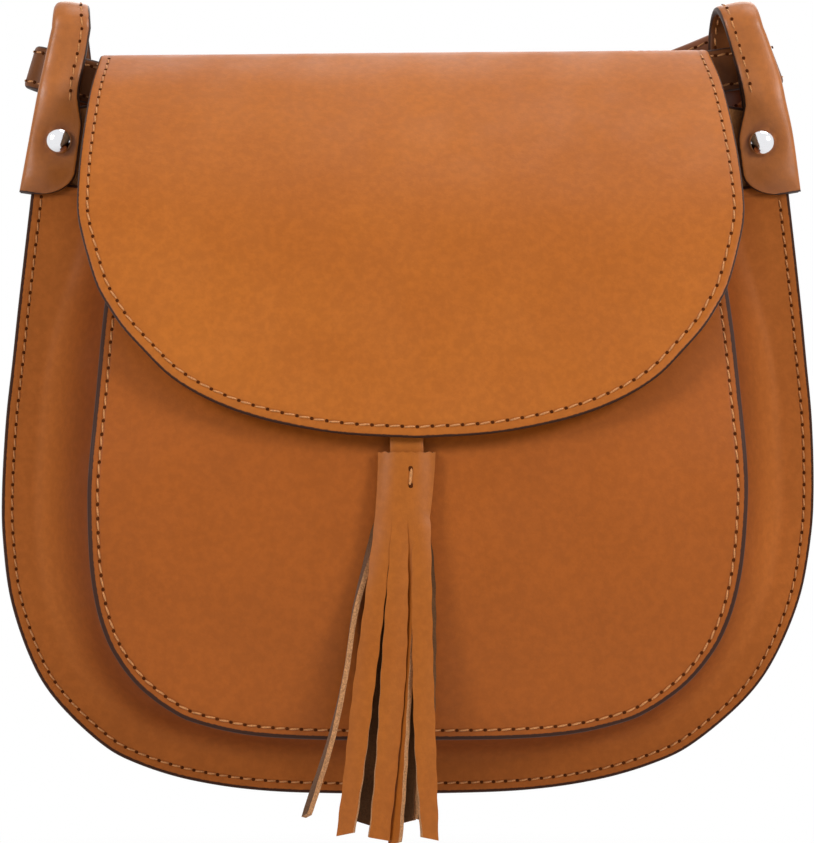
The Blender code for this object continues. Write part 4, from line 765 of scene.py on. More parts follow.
def gusset_grid():
    """The gusset: flange on the back, a cubic fold inwards, and a flange under the front."""
    size = sizes()
    back = back_side()
    back = back[travelled(back) > GUSSET_START * travelled(back)[-1]]
    front = front_side()
    rear_at = np.linspace(0.0, travelled(back)[-1], GUSSET_POINTS)
    front_at = np.linspace(0.0, travelled(front)[-1], GUSSET_POINTS)
    rear = at_lengths(back, rear_at)
    rear_in = unit(at_lengths(back, rear_at, inward(back)))
    fore = at_lengths(front, front_at)
    fore_in = unit(at_lengths(front, front_at, inward(front)))
    flange = TONGUE_FLANGE + (REAR_FLANGE - TONGUE_FLANGE) * eased(rear_at / (60 * MM))
    flange = flange[:, None]
    apart = size.body_leather / 2 + GAP + size.gusset_leather / 2

    def depth_under_front(place):
        step = 2 * MM
        side, drop = place[:, :1], place[:, 1:]
        down = (front_depth(side, drop + step) - front_depth(side, drop - step)) / (2 * step)
        out = (front_depth(side + step, drop) - front_depth(side - step, drop)) / (2 * step)
        return front_depth(side, drop) - apart * np.sqrt(1 + down ** 2 + out ** 2)

    columns = []
    edge = []
    for inset in REAR_COLUMNS:
        columns.append((rear + rear_in * np.minimum(inset, flange), apart + 0 * flange))
        edge.append(inset - REAR_COLUMNS[0])
    bend_rear = rear + rear_in * flange
    bend_fore = fore + fore_in * FRONT_FLANGE
    depth_fore = depth_under_front(bend_fore)
    wave = np.sin(rear_at * 95.0)[:, None] * 0.9 * MM + np.sin(rear_at * 41.0 + 2.0)[:, None] * MM
    handle_rear = bend_rear + rear_in * (FOLD_HANDLE + wave)
    handle_fore = bend_fore + fore_in * (FOLD_HANDLE - wave / 2)
    for share in np.linspace(0.0, 1.0, FOLD_COLUMNS):
        rest = 1 - share
        weights = (rest ** 3, 3 * share * rest ** 2, 3 * share ** 2 * rest, share ** 3)
        place = (weights[0] * bend_rear + weights[1] * handle_rear
                 + weights[2] * handle_fore + weights[3] * bend_fore)
        depth = (weights[0] + weights[1]) * apart + (weights[2] + weights[3]) * depth_fore
        columns.append((place, depth))
        edge.append(FAR_FROM_EDGE)
    for inset in FRONT_COLUMNS:
        place = fore + fore_in * inset
        columns.append((place, depth_under_front(place)))
        edge.append(inset - FRONT_COLUMNS[-1])
    grid = np.zeros((2 * GUSSET_POINTS - 1, len(columns), 3))
    for column, (place, depth) in enumerate(columns):
        right = np.column_stack([place[:, 0], -depth[:, 0], -place[:, 1]])
        whole = np.vstack([right * np.array([-1.0, 1.0, 1.0]), right[-2::-1]])
        whole[:, 0] += lean(-whole[:, 2])
        grid[:, column] = whole
    return grid, np.array(edge)


def gusset_shell(grid, edge, name, materials):
    """The gusset's two faces, rounded together at its long edges and at both ends.

    Its shade is the dusk between back and front: deep in the fold, at the top and at the bottom.
    """
    thick = sizes().gusset_leather / 2
    normal = grid_normals(grid)
    along = travelled(grid[:, 0])
    ends = np.minimum(along, along[-1] - along)[:, None]
    away = np.minimum(edge[None, :], ends)
    half = (thick * rounded(away, thick))[..., None]
    offset = (grid - grid[:, :1])[..., [0, 2]]
    inwards = np.linalg.norm(offset, axis=-1) / np.linalg.norm(offset[:, -1:], axis=-1)
    drop = -grid[..., 2]
    in_fold = eased((inwards - 0.3) / 0.6)
    at_top = eased((60 * MM - drop) / (40 * MM))
    at_bottom = eased((drop - 165 * MM) / (50 * MM))
    shade = np.clip(in_fold + 0.6 * at_top + 0.35 * at_bottom, 0.0, 1.0)
    return shell_of(name, grid + normal * half, grid - normal * half, away, materials,
                    marks={"shade": shade})


# Flap

# The flap lies a little askew at its fold: slope, drop, and how far down that fades out
FLAP_TILT = 0.0119
TILT_DROP = 0.3 * MM
TILT_REACH = 70.0 * MM


def flap_profile():
    """The flap from the side, with its tail behind the fold, and the fold's distance along it."""
    size = sizes()
    body = np.array(FLAP_PROFILE) * np.array([size.flap_depth, size.flap_drop])
    tail = np.array(TAIL_PROFILE) * MM
    line = curve_through(np.vstack([tail, body]))
    return line, travelled(line)[CURVE_STEPS * len(tail)]


def flap_length():
    """Length of the flap's leather from the fold to its tip."""
    body = np.array(FLAP_PROFILE) * np.array([sizes().flap_depth, sizes().flap_drop])
    return travelled(curve_through(body))[-1]


def flap_surface(below):
    """The flap as a surface of side and length along the leather, at a depth below its middle."""
    line, fold = flap_profile()
    along_line = travelled(line) - fold
    tangent = unit(np.gradient(line, axis=0))
    length = flap_length()

    def surface(side, along):
        extra = np.maximum(along - along_line[-1], 0.0)
        depth = np.interp(along, along_line, line[:, 0]) + extra * tangent[-1, 0]
        drop = np.interp(along, along_line, line[:, 1]) + extra * tangent[-1, 1]
        out_depth = np.interp(along, along_line, tangent[:, 1])
        out_drop = -np.interp(along, along_line, tangent[:, 0])
        share = np.clip(along / length, 0.0, 1.0)
        tilt = (FLAP_TILT * side - TILT_DROP) * (1 - eased(along / TILT_REACH))
        crown = sizes().flap_crown * (side / (sizes().flap_width / 2)) ** 2 * share ** 2
        dented = dents(side, along, 0.3 * MM, (36, 0.4), (44, 0.0)) * share
        depth = depth - below * out_depth - crown - dented
        return np.stack([side + 0 * along, -depth, tilt - (drop - below * out_drop)], axis=-1)

    return surface


def flap_side():
    """Half outline of the flap from the fold to its tip."""
    return curve_through(np.array(FLAP_SIDE) * np.array([sizes().flap_width / 2, flap_length()]))


def flap_outline():
    """Closed outline of the flap's leather, its tail behind the fold included."""
    side = flap_side()
    side = side[side[:, 1] > 2.2 * MM]
    tail = np.vstack([np.array(TAIL_SIDE) * MM, [(side[0, 0] - 1.6 * MM, -0.2 * MM)], side[:1]])
    return mirrored(evenly(np.vstack([curve_through(tail, 10)[:-1], side]), 2 * MM)) - FLAP_SET


def lining_outline():
    """Closed outline of the lining, just inside the flap's edge."""
    side = flap_side()
    side = (side + inward(side) * 0.9 * MM)[side[:, 1] > 5 * MM]
    top = np.array([(0.0, 3.4 * MM), (side[0, 0] / 2, 3.4 * MM), (side[0, 0] - 2 * MM, 3.6 * MM)])
    half = np.vstack([curve_through(np.vstack([top, side[:1]]), 8)[:-1], side])
    half[-1, 0] = 0.0
    return mirrored(evenly(half, 2.5 * MM)) - FLAP_SET


# Strap


class Route:
    """A strap laid flat and then folded over creases. Directions are seen from the front."""

    def __init__(self, start, depth, heading_deg):
        self.start = np.array(start, dtype=float)
        self.place = self.start.copy()
        self.heading_deg = heading_deg
        self.now_deg = heading_deg
        self.start_depth = depth
        self.depth = depth
        self.side = 1.0
        self.knots = [0.0]
        self.turns = []
        self.folds = []

    def run(self, length, to_deg=None):
        """Go on along an arc of even curvature that ends in a new direction."""
        turn = 0.0 if to_deg is None else (to_deg - self.now_deg + 180.0) % 360.0 - 180.0
        middle = math.radians(self.now_deg + turn / 2)
        chord = length * np.sinc(math.radians(turn) / math.tau)
        self.place = self.place + chord * np.array([math.cos(middle), math.sin(middle)])
        self.now_deg += turn
        self.knots.append(self.knots[-1] + length)
        self.turns.append(math.radians(turn) * self.side / length)
        return self

    def slant_of(self, next_deg):
        """Slant of the crease: half of the turn that is left after turning back."""
        return ((next_deg - self.now_deg - 180.0) / 2 + 90.0) % 180.0 - 90.0

    def shift_of(self, next_deg, radius, slip=0.0):
        """Sideways step of the middle line in a fold: half its girth times the slant's tangent."""
        slant = math.radians(self.slant_of(next_deg))
        along = math.radians(self.now_deg) + slant
        shift = slip - math.pi * radius * math.tan(slant)
        return shift * np.array([-math.sin(along), math.cos(along)])

    def fold(self, next_deg, radius, rearward, slip=0.0):
        """Turn the strap over a crease, to the rear or to the front."""
        slant = math.radians(self.slant_of(next_deg))
        toward = -self.side if rearward else self.side
        self.folds.append((self.knots[-1], slant * self.side, radius, toward, slip * self.side))
        self.place = self.place + self.shift_of(next_deg, radius, slip)
        self.now_deg = self.now_deg + 180.0 + 2 * math.degrees(slant)
        self.depth += 2 * radius if rearward else -2 * radius
        self.knots.append(self.knots[-1] + math.pi * radius / math.cos(slant))
        self.turns.append(0.0)
        self.side = -self.side
        return self

    def flat(self, along, across):
        """Flat place of points: arcs of even curvature laid end to end."""
        angle = 0.0
        spot = np.zeros(2)
        flat_x = np.zeros_like(along)
        flat_y = np.zeros_like(along)
        last_run = len(self.turns) - 1
        for index, turn in enumerate(self.turns):
            first, last = self.knots[index], self.knots[index + 1]
            inside = (along >= first) & ((along < last) | (index == last_run))
            reach = along - first
            bow = turn * reach / 2
            chord = reach * np.sinc(bow / math.pi)
            here = angle + 2 * bow
            flat_x = np.where(inside, spot[0] + chord * np.cos(angle + bow)
                              - across * np.sin(here), flat_x)
            flat_y = np.where(inside, spot[1] + chord * np.sin(angle + bow)
                              + across * np.cos(here), flat_y)
            bow = turn * (last - first) / 2
            chord = (last - first) * np.sinc(bow / math.pi)
            spot = spot + chord * np.array([math.cos(angle + bow), math.sin(angle + bow)])
            angle += 2 * bow
        return flat_x, flat_y

    def flat_heading(self, station):
        """Flat direction at a station: the sum of the turns before it."""
        knots = np.array(self.knots)
        return np.sum(np.array(self.turns) * np.clip(station - knots[:-1], 0.0, np.diff(knots)))

    def points(self, along, across, up):
        """Folded places: each crease, last one first, rolls what lies past it onto a half circle."""
        flat_x, flat_y = self.flat(along, across)
        crease_x, crease_y = self.flat(np.array([f[0] for f in self.folds]), np.zeros(len(self.folds)))
        x, y, n = flat_x.copy(), flat_y.copy(), up + 0.0 * flat_x
        for index in reversed(range(len(self.folds))):
            station, slant, radius, toward, slip = self.folds[index]
            heading = self.flat_heading(station) + slant
            ux, uy = math.cos(heading), math.sin(heading)
            fx, fy = crease_x[index], crease_y[index]
            angle = np.clip(((flat_x - fx) * ux + (flat_y - fy) * uy) / radius, 0.0, math.pi)
            x = x - radius * angle * ux - slip * angle / math.pi * uy
            y = y - radius * angle * uy + slip * angle / math.pi * ux
            along_u = (x - fx) * ux + (y - fy) * uy
            along_a = -(x - fx) * uy + (y - fy) * ux
            height = n - toward * radius
            bend = toward * angle
            new_u = along_u * np.cos(bend) - height * np.sin(bend)
            n = toward * radius + along_u * np.sin(bend) + height * np.cos(bend)
            x = fx + new_u * ux - along_a * uy
            y = fy + new_u * uy + along_a * ux
        turn = math.radians(self.heading_deg)
        world_x = self.start[0] + x * math.cos(turn) - y * math.sin(turn)
        world_z = self.start[1] + x * math.sin(turn) + y * math.cos(turn)
        return np.stack([world_x, self.start_depth - n, world_z], axis=-1)

    def rows(self):
        """Stations along the strap, close together in its creases."""
        marks = [np.arange(0.0, self.knots[-1], 2.4 * MM), np.array(self.knots)]
        for station, slant, radius, _toward, _slip in self.folds:
            crease = math.pi * radius / math.cos(slant)
            marks.append(np.linspace(station, station + crease, 21))
        marks = np.unique(np.round(np.concatenate(marks), 6))
        return marks[np.concatenate([[True], np.diff(marks) > 0.12 * MM])]

    def skew(self, rows):
        """Slope of each row across the strap, so that rows lie along the creases."""
        reach = 24 * MM
        knots = [(0.0, 0.0)]
        for station, slant, radius, _toward, _slip in self.folds:
            if station - knots[-1][0] > 2 * reach:
                knots.append((knots[-1][0] + reach, 0.0))
                knots.append((station - reach, 0.0))
            knots.append((station, math.tan(slant)))
            knots.append((station + math.pi * radius / math.cos(slant), math.tan(slant)))
        if self.knots[-1] > knots[-1][0] + reach:
            knots.append((knots[-1][0] + reach, 0.0))
        return np.interp(rows, [knot[0] for knot in knots], [knot[1] for knot in knots])


# Arches: how far from the middle, how high, and how each upright leans
ARCH_SPREAD = 104.0 * MM
ARCH_TOP = 8.0 * MM
LEFT_LEAN_DEG = 8.1
RIGHT_LEAN_DEG = 9.8
# Radius of each arch and the sideways slip over it, and the legs down from the arches
LEFT_ARCH = 6.5 * MM
LEFT_SLIP = 4.4 * MM
RIGHT_ARCH = 7.2 * MM
RIGHT_SLIP = 0.6 * MM
LEFT_LEG_DEG = 271.0
LEG_BEND_DEG = 6.8
LEG_BEND = 40.0 * MM
RIGHT_LEG_DEG = 270.0
RIGHT_LEG = 0.4 * MM
# The long strap's later folds, and its two bands across: length and end direction of each arc
CORNER_DEG = 204.0
CORNER_RADIUS = 1.6 * MM
CORNER_SLIP = 1.2 * MM
REAR_BAND = ((95.04 * MM, 182.2), (117.04 * MM, 163.5))
LOOP_RADIUS = 6.0 * MM
FRONT_BAND = ((66.84 * MM, 360.0), (155.96 * MM, 369.3))
DIAGONAL_DEG = 212.0
DIAGONAL_RADIUS = 2.6 * MM
TAIL_RADIUS = 2.45 * MM
TAIL_TOP = -24.0 * MM
# Buckle: drop of its bar, radius of its rod, its length, corners and clear space at each side,
# and the strap's end that turns back round its bar
BUCKLE_DROP = 78.0 * MM
BUCKLE_ROD = 1.25 * MM
BUCKLE_LENGTH = 17.0 * MM
BUCKLE_CORNER = 2.0 * MM
BUCKLE_CLEAR = 1.0 * MM
TURNED_BACK = 17.0 * MM
# Tongues and uprights
TONGUE_LEAF = 1.6 * MM
TONGUE_LENGTH = 30.4 * MM
TONGUE_BLEND = 14.0 * MM
UPRIGHT = 52.4 * MM
# How much further the left strap stays narrow, and the round toe: length and depth
LEFT_NARROW = 26.0 * MM
TOE_LENGTH = 8.5 * MM
TOE_DEPTH = 13.0 * MM
# How far each strap's outer edge is a fold and no cut edge, and how high its face swells in
# millimetres, with what the tongue swells more
FOLDED_EDGE = 110.0 * MM
SWELL = 0.9
TONGUE_SWELL = 0.6
# Rivets on the straps: station, place across each strap, and radius of the hollow and of the
# shade round them
RIVET_STATION = 17.0 * MM
RIVET_ACROSS = {-1.0: -1.9 * MM, 1.0: 0.64 * MM}
RIVET_HOLLOW = 6.4 * MM
RIVET_SHADE = 4.3 * MM
# Seams of the straps: first stitch of each, where all edges are sewn, last stitch from the end,
# and distance from the edge on the uprights and past them
FIRST_STITCH = {-1.0: 29.2 * MM, 1.0: 31.6 * MM}
ALL_EDGES = UPRIGHT + 12.0 * MM
LAST_STITCH = 9.0 * MM
UPRIGHT_INSET = 2.7 * MM
BAND_INSET = 2.1 * MM


def tongue_thickness():
    """Both leaves of a tongue with the panel's edge between them."""
    size = sizes()
    return 2 * TONGUE_LEAF + size.body_leather + size.gusset_leather + 3 * GAP


def tongue_middle():
    """Place of the tongue's middle, front to back."""
    size = sizes()
    front = size.body_leather / 2 + size.gusset_leather + 2 * GAP + TONGUE_LEAF
    return tongue_thickness() / 2 - front


def upright_route(lean_deg, side):
    """A route with its upright: it starts at the tongue's foot and reaches the arch."""
    heading_deg = 90.0 + side * lean_deg
    heading = math.radians(heading_deg)
    end = np.array([side * ARCH_SPREAD, ARCH_TOP])
    foot = end - UPRIGHT * np.array([math.cos(heading), math.sin(heading)])
    return Route(foot, tongue_middle(), heading_deg).run(UPRIGHT)


def bar_radius():
    """Radius of the strap's middle round the buckle's bar."""
    return BUCKLE_ROD + GAP + sizes().strap_thickness / 2


def short_route():
    """Left strap: tongue, arch, and a leg down to the buckle's bar."""
    route = upright_route(LEFT_LEAN_DEG, -1.0)
    route.fold(LEFT_LEG_DEG + LEG_BEND_DEG, LEFT_ARCH, True, LEFT_SLIP)
    route.run(LEG_BEND, LEFT_LEG_DEG)
    route.run((route.place[1] + BUCKLE_DROP) / -math.sin(math.radians(LEFT_LEG_DEG)))
    return route


def long_route(short):
    """Right strap: its arch, twice across behind the bag, and back up to the buckle."""
    route = upright_route(RIGHT_LEAN_DEG, 1.0)
    route.fold(RIGHT_LEG_DEG, RIGHT_ARCH, True, RIGHT_SLIP)
    route.run(RIGHT_LEG)
    route.fold(CORNER_DEG, CORNER_RADIUS, True, CORNER_SLIP)
    for length, to_deg in REAR_BAND:
        route.run(length, to_deg)
    route.fold(route.now_deg + 180.0, LOOP_RADIUS, False)
    for length, to_deg in FRONT_BAND:
        route.run(length, to_deg)
    route.fold(DIAGONAL_DEG, DIAGONAL_RADIUS, True)
    tail_deg = LEFT_LEG_DEG - 180.0
    diagonal = math.radians(route.now_deg)
    onward = np.array([math.cos(diagonal), math.sin(diagonal)])
    across = np.array([-math.sin(math.radians(tail_deg)), math.cos(math.radians(tail_deg))])
    shift = route.shift_of(tail_deg, TAIL_RADIUS)
    route.run(np.dot(short.place - route.place - shift, across) / np.dot(onward, across))
    route.fold(tail_deg, TAIL_RADIUS, True)
    route.run((TAIL_TOP - route.place[1]) / math.sin(math.radians(tail_deg)))
    return route


# Half widths of each upright, inner and outer: station from the foot and width in millimetres
UPRIGHT_SIDES = {
    -1.0: (((0.0, 8.5), (21.9, 8.3), (27.4, 7.0), (33.8, 5.7), (46.2, 6.4), (62.4, 6.6)),
           ((0.0, 8.0), (32.4, 6.7), (49.4, 5.7), (56.4, 4.9), (63.4, 4.0))),
    1.0: (((0.0, 8.5), (17.7, 7.9), (21.4, 7.0), (25.4, 5.4), (28.7, 4.1), (31.8, 3.8),
           (40.2, 4.0), (47.4, 4.8), (55.4, 5.7), (64.4, 6.3)),
          ((0.0, 8.9), (17.7, 9.5), (28.4, 9.1), (36.4, 8.9), (42.2, 8.3), (50.0, 7.1),
           (53.8, 6.4), (62.4, 6.3))),
}


def strap_half_widths(along, strap_side):
    """Half widths of a strap, inner and outer: a waist over the tongue, and one long round toe.

    The left strap stays narrow further along its leg than the right one.
    """
    narrow = LEFT_NARROW if strap_side < 0 else 0.0
    later = eased((along - UPRIGHT - TONGUE_BLEND - narrow) / TONGUE_BLEND)
    widths = []
    for table in UPRIGHT_SIDES[strap_side]:
        line = curve_through(np.array(table) * MM, 8)
        half = np.interp(along, line[:, 0], line[:, 1])
        widths.append(half + (sizes().strap_width / 2 - half) * later)
    toe = TOE_DEPTH * (1 - np.sqrt(1 - np.clip(1 - along / TOE_LENGTH, 0.0, 1.0) ** 2))
    return widths[0] - toe, widths[1]


def strap_swell(along, across, outward, rivet_across):
    """Rise of a folded strap's face: the square of the outward share times what is left of it,
    so that it is highest at the outer third, and flat again round the rivet.

    Times 27 / 4, that product is one at its highest.
    """
    on_tongue = 1 - eased((along - 26 * MM) / (16 * MM))
    before_leg = 1 - eased((along - 82 * MM) / (30 * MM))
    past_toe = eased((along + 3 * MM) / (9 * MM))
    height = (SWELL + TONGUE_SWELL * on_tongue) * before_leg * past_toe
    reach = np.hypot(along - RIVET_STATION, across - rivet_across) / RIVET_HOLLOW
    return 27 / 4 * MM * height * outward ** 2 * (1 - outward) * (1 - np.exp(-reach ** 4))


def strap_layers(along):
    """Whole thickness at a place, and the thickness of the front layer."""
    blend = eased((along - TONGUE_LENGTH) / TONGUE_BLEND)
    whole = tongue_thickness() + (sizes().strap_thickness - tongue_thickness()) * blend
    layer = TONGUE_LEAF + (sizes().strap_thickness - TONGUE_LEAF) * blend
    return whole, layer


# Columns of a strap inwards from each edge, and rows inwards from each end
STRAP_EDGE = np.array([0.0, 0.1, 0.32, 0.7, 1.25, 2.2, 3.4]) * MM
STRAP_ENDS = np.array([0.0, 0.1, 0.32, 0.7, 1.25, 2.0, 3.0, 4.0, 5.0, 6.0, 7.0, 8.2]) * MM


def strap_shell(name, route, inner_side, tip, rivet_across, materials, rear=False):
    """A strap: rows along it, columns that crowd at its edges, and a half-round edge all round."""
    rows = route.rows()
    total = route.knots[-1]
    if rear:
        total = TONGUE_LENGTH + TONGUE_BLEND
        rows = rows[rows < total - 1 * MM]
    rows = np.unique(np.round(np.concatenate([rows, STRAP_ENDS, total - STRAP_ENDS]), 6))
    inner, outer = strap_half_widths(rows, inner_side)
    left = np.where(inner_side > 0, inner, outer)
    right = np.where(inner_side > 0, outer, inner)
    if tip > 0:
        share = np.clip(1 - (total - rows) / tip, 0.0, 1.0)
        narrowing = np.sqrt(np.maximum(1 - share ** 2, 0.0016))
        left, right = left * narrowing, right * narrowing
    width = (left + right)[:, None]
    near = np.minimum(STRAP_EDGE[None], width * np.linspace(0.0, 0.48, len(STRAP_EDGE))[None])
    middle = near[:, -1:] + (width - 2 * near[:, -1:]) * np.linspace(0.0, 1.0, 7)[None, 1:-1]
    from_left = np.hstack([near, middle, width - near[:, ::-1]])
    across = left[:, None] - from_left
    along = rows[:, None] - (0.0 if rear else 1.0) * across * route.skew(rows)[:, None]
    ends = np.minimum(rows, total - rows)[:, None] + 0 * across
    folded = eased((FOLDED_EDGE - along) / (20 * MM)) * (0.0 if rear else FAR_FROM_EDGE)
    near_left = from_left + (folded if inner_side < 0 else 0.0)
    near_right = width - from_left + (folded if inner_side > 0 else 0.0)
    round_edge = np.minimum(np.minimum(from_left, width - from_left), ends)
    edge = np.minimum(np.minimum(near_left, near_right), ends)
    whole, layer = strap_layers(rows)
    if rear:
        layer = np.minimum(TONGUE_LEAF + 0 * layer, 0.15 * MM + whole - layer)
        centre = (-whole / 2 + layer / 2)[:, None]
    else:
        centre = (whole / 2 - layer / 2)[:, None]
    half = layer[:, None] / 2 * rounded(round_edge, layer[:, None] / 2)
    outward = from_left / width if inner_side > 0 else 1 - from_left / width
    swell = 0.0 if rear else strap_swell(along, across, outward, rivet_across)
    top = route.points(along, across, centre + half + swell)
    bottom = route.points(along, across, centre - half)
    from_rivet = np.hypot(along - RIVET_STATION, across - rivet_across) - RIVET_SHADE
    round_rivet = 0.8 * np.exp(-(from_rivet / (0.8 * MM)) ** 2)
    shade = np.maximum(eased((along - 68 * MM) / (18 * MM)), round_rivet)
    return shell_of(name, top, bottom, edge, materials, marks={"shade": shade})


def strap_seam(route, first, last, strap_side, edge_side, inset, upper):
    """Stitches along one edge of a strap between two stations, on its upper or lower face."""
    count = int((last - first) / STRAP_PITCH)
    at = first + (np.arange(count) + 0.5) * (last - first) / count
    inner, outer = strap_half_widths(at, strap_side)
    across = edge_side * ((inner if edge_side == strap_side else outer) - inset)
    outward = 1 - (outer + strap_side * across) / (inner + outer)
    whole, layer = strap_layers(at)
    up = whole / 2 + strap_swell(at, across, outward, 0.0) if upper else whole / 2 - layer
    step = 0.3 * MM
    place = route.points(at, across, up)
    ahead = route.points(at + step, across, up) - route.points(at - step, across, up)
    out = route.points(at, across, up + step) - route.points(at, across, up - step)
    return place, unit(ahead), unit(out) * (1 if upper else -1)


# Metal


def turned(name, profile, centre, axis, materials, segments=48):
    """A turned piece: a profile of radius and height, swung round an axis."""
    profile = np.array(profile, dtype=float)
    axis = unit(np.array(axis, dtype=float))
    side = unit(np.cross(axis, [0.31, 0.53, 0.79]))
    other = np.cross(axis, side)
    angle = np.linspace(0.0, math.tau, segments, endpoint=False)
    ray = np.cos(angle)[:, None] * side + np.sin(angle)[:, None] * other
    points = centre + profile[:, 0][:, None, None] * ray + profile[:, 1][:, None, None] * axis
    faces = ring_quads(len(points), segments)
    return add_mesh(name, points, faces, np.zeros(len(faces)), materials)


def rod(name, path, binormal, radius, closed, materials, sides=16):
    """A round rod along a flat path: circles square to the path, sized up where it turns."""
    path = np.array(path, dtype=float)
    if closed:
        ahead = unit(np.roll(path, -1, axis=0) - path)
        behind = unit(path - np.roll(path, 1, axis=0))
    else:
        step = unit(np.diff(path, axis=0))
        ahead = np.vstack([step, step[-1:]])
        behind = np.vstack([step[:1], step])
    forward = unit(ahead + behind)
    normal = np.cross(forward, binormal) / np.sum(forward * ahead, axis=1, keepdims=True)
    angle = np.linspace(0.0, math.tau, sides, endpoint=False)
    size = np.full(len(path), radius)
    if not closed:
        path = np.vstack([path[:1] - behind[:1] * radius * 0.5, path[:1], path,
                          path[-1:], path[-1:] + ahead[-1:] * radius * 0.5])
        normal = np.vstack([normal[:1], normal[:1], normal, normal[-1:], normal[-1:]])
        size = np.concatenate([[0.0, radius * 0.8], size, [radius * 0.8, 0.0]])
        path[1] -= behind[0] * radius * 0.35
        path[-2] += ahead[-1] * radius * 0.35
    points = (path[:, None] + size[:, None, None]
              * (np.cos(angle)[None, :, None] * normal[:, None]
                 + np.sin(angle)[None, :, None] * np.asarray(binormal)))
    index = np.arange(points.shape[0] * sides).reshape(-1, sides)
    grid = np.hstack([index, index[:, :1]])
    if closed:
        grid = np.vstack([grid, grid[:1]])
    faces = quads(grid)
    return add_mesh(name, points, faces, np.zeros(len(faces)), materials)


def leg_axes():
    """Directions of the left leg: down along it, and across it."""
    down = math.radians(LEFT_LEG_DEG)
    return (np.array([math.cos(down), 0.0, math.sin(down)]),
            np.array([-math.sin(down), 0.0, math.cos(down)]))


# Tassel

# Place of the tassel to one side, its tab's thickness, and its head: length and widths
TASSEL_SIDE = -3.0 * MM
TAB_LEATHER = 1.6 * MM
HEAD_LENGTH = 19.0 * MM
HEAD_WIDTHS = (15.8 * MM, 15.2 * MM)
# How far the head hangs below the flap's tip, and how far its lower edge drifts to the left
TIP_TO_HEAD = 4.2 * MM
HEAD_DRIFT = 1.4 * MM
# How far the tassel leans out, and over what share of its length
LEAN_OUT = 4.8 * MM
LEAN_SHARE = 0.42
# The tab: where it starts along the flap's leather, how far it goes into the head, half its
# width, and the length of its narrow end
TAB_START = 137.0 * MM
TAB_IN_HEAD = 11.5 * MM
TAB_HALF_WIDTH = 4.9 * MM
TAB_TAPER = 6.0 * MM
# The stitch: its place to the side, and the drops of its upper hole, middle and lower hole
STITCH_SIDE = -2.0 * MM
STITCH_DROPS = np.array([4.6, 7.0, 9.4]) * MM


def head_top():
    """Drop of the tassel's head: a little below the flap's tip."""
    tip = flap_surface(0.0)(np.array(0.0), np.array(flap_length()))
    return -tip[2] + TIP_TO_HEAD


def tab_below():
    """Depth of the tab's middle under the flap's middle."""
    size = sizes()
    return size.body_leather / 2 + GAP + size.lining + GAP + TAB_LEATHER / 2


def tab_end():
    """Where the tab would end above the head, and how far along the leather that is."""
    surface = flap_surface(tab_below())
    length = flap_length()
    drops = -surface(np.full(2, TASSEL_SIDE), np.array([length, length + MM]))[:, 2]
    reach = MM * (head_top() - 0.9 * MM - drops[0]) / (drops[1] - drops[0])
    return surface(np.full(1, TASSEL_SIDE), np.array([length + reach]))[0], length + reach


def leaf_to_tab():
    """From the middle of a leaf to the middle of the tab between the leaves."""
    return sizes().tassel_leather / 2 + GAP + TAB_LEATHER / 2


def tassel_depth(drop):
    """Depth of the back leaf: it leans out by a parabola over the front panel's belly."""
    share = np.clip((drop - head_top()) / (sizes().tassel_length * LEAN_SHARE), 0.0, 1.0)
    start = -tab_end()[0][1] - leaf_to_tab()
    return start + LEAN_OUT * (1 - (1 - share) ** 2)


# Strips: share of the head's width, then rows of fall share, middle and width in millimetres
# from the tassel's own middle, forward millimetres, and twist in degrees
FRONT_STRIPS = (
    (0.30, ((0.0, -6.6, 4.6, 0.0, 0), (0.07, -7.2, 5.2, 0.2, 4), (0.53, -12.5, 6.0, 0.6, 12),
            (0.80, -15.4, 5.6, 0.3, 20), (0.985, -17.8, 5.2, 0.5, 24))),
    (0.28, ((0.0, -2.3, 4.2, 0.0, 0), (0.07, -2.4, 5.0, 0.3, -5), (0.44, -4.0, 7.0, 0.9, -10),
            (0.75, -6.0, 6.4, 0.6, -16), (1.0, -8.3, 5.9, 0.3, -14))),
    (0.14, ((0.0, 0.9, 2.1, 0.0, 0), (0.25, 1.0, 3.4, -0.8, 50), (0.6, -0.6, 4.0, -0.9, 62),
            (0.85, -2.3, 4.2, -0.6, 52), (1.015, -3.6, 4.2, -0.4, 44))),
    (0.28, ((0.0, 4.1, 4.2, 0.0, 0), (0.07, 4.0, 5.2, 0.3, 6), (0.44, 4.3, 5.7, 0.8, -4),
            (0.69, 4.9, 6.0, 0.5, -10), (1.0, 6.3, 5.2, 0.4, -26))),
)
BACK_STRIPS = (
    (0.24, ((0.0, -7.0, 3.6, 0.0, 0), (0.08, -9.8, 3.8, 0.2, 62), (0.28, -14.8, 3.8, 0.9, 86),
            (0.48, -17.6, 3.8, 1.2, 90), (0.69, -21.9, 3.8, 1.3, 80), (0.93, -29.0, 3.6, 1.2, 64))),
    (0.26, ((0.0, -3.3, 3.9, 0.0, 0), (0.2, -4.4, 5.0, -0.3, 6), (0.55, -8.6, 5.4, -0.2, 12),
            (0.955, -12.4, 4.8, 0.1, 28))),
    (0.25, ((0.0, 0.5, 3.8, 0.0, 0), (0.2, 1.0, 5.0, -0.2, -6), (0.6, 0.4, 5.4, -0.2, 10),
            (0.95, 0.3, 4.6, 0.5, 34))),
    (0.25, ((0.0, 4.2, 3.8, 0.0, 0), (0.2, 5.6, 4.8, -0.2, -8), (0.6, 5.4, 5.0, -0.2, -20),
            (0.945, 4.0, 4.4, 0.7, -46))),
)


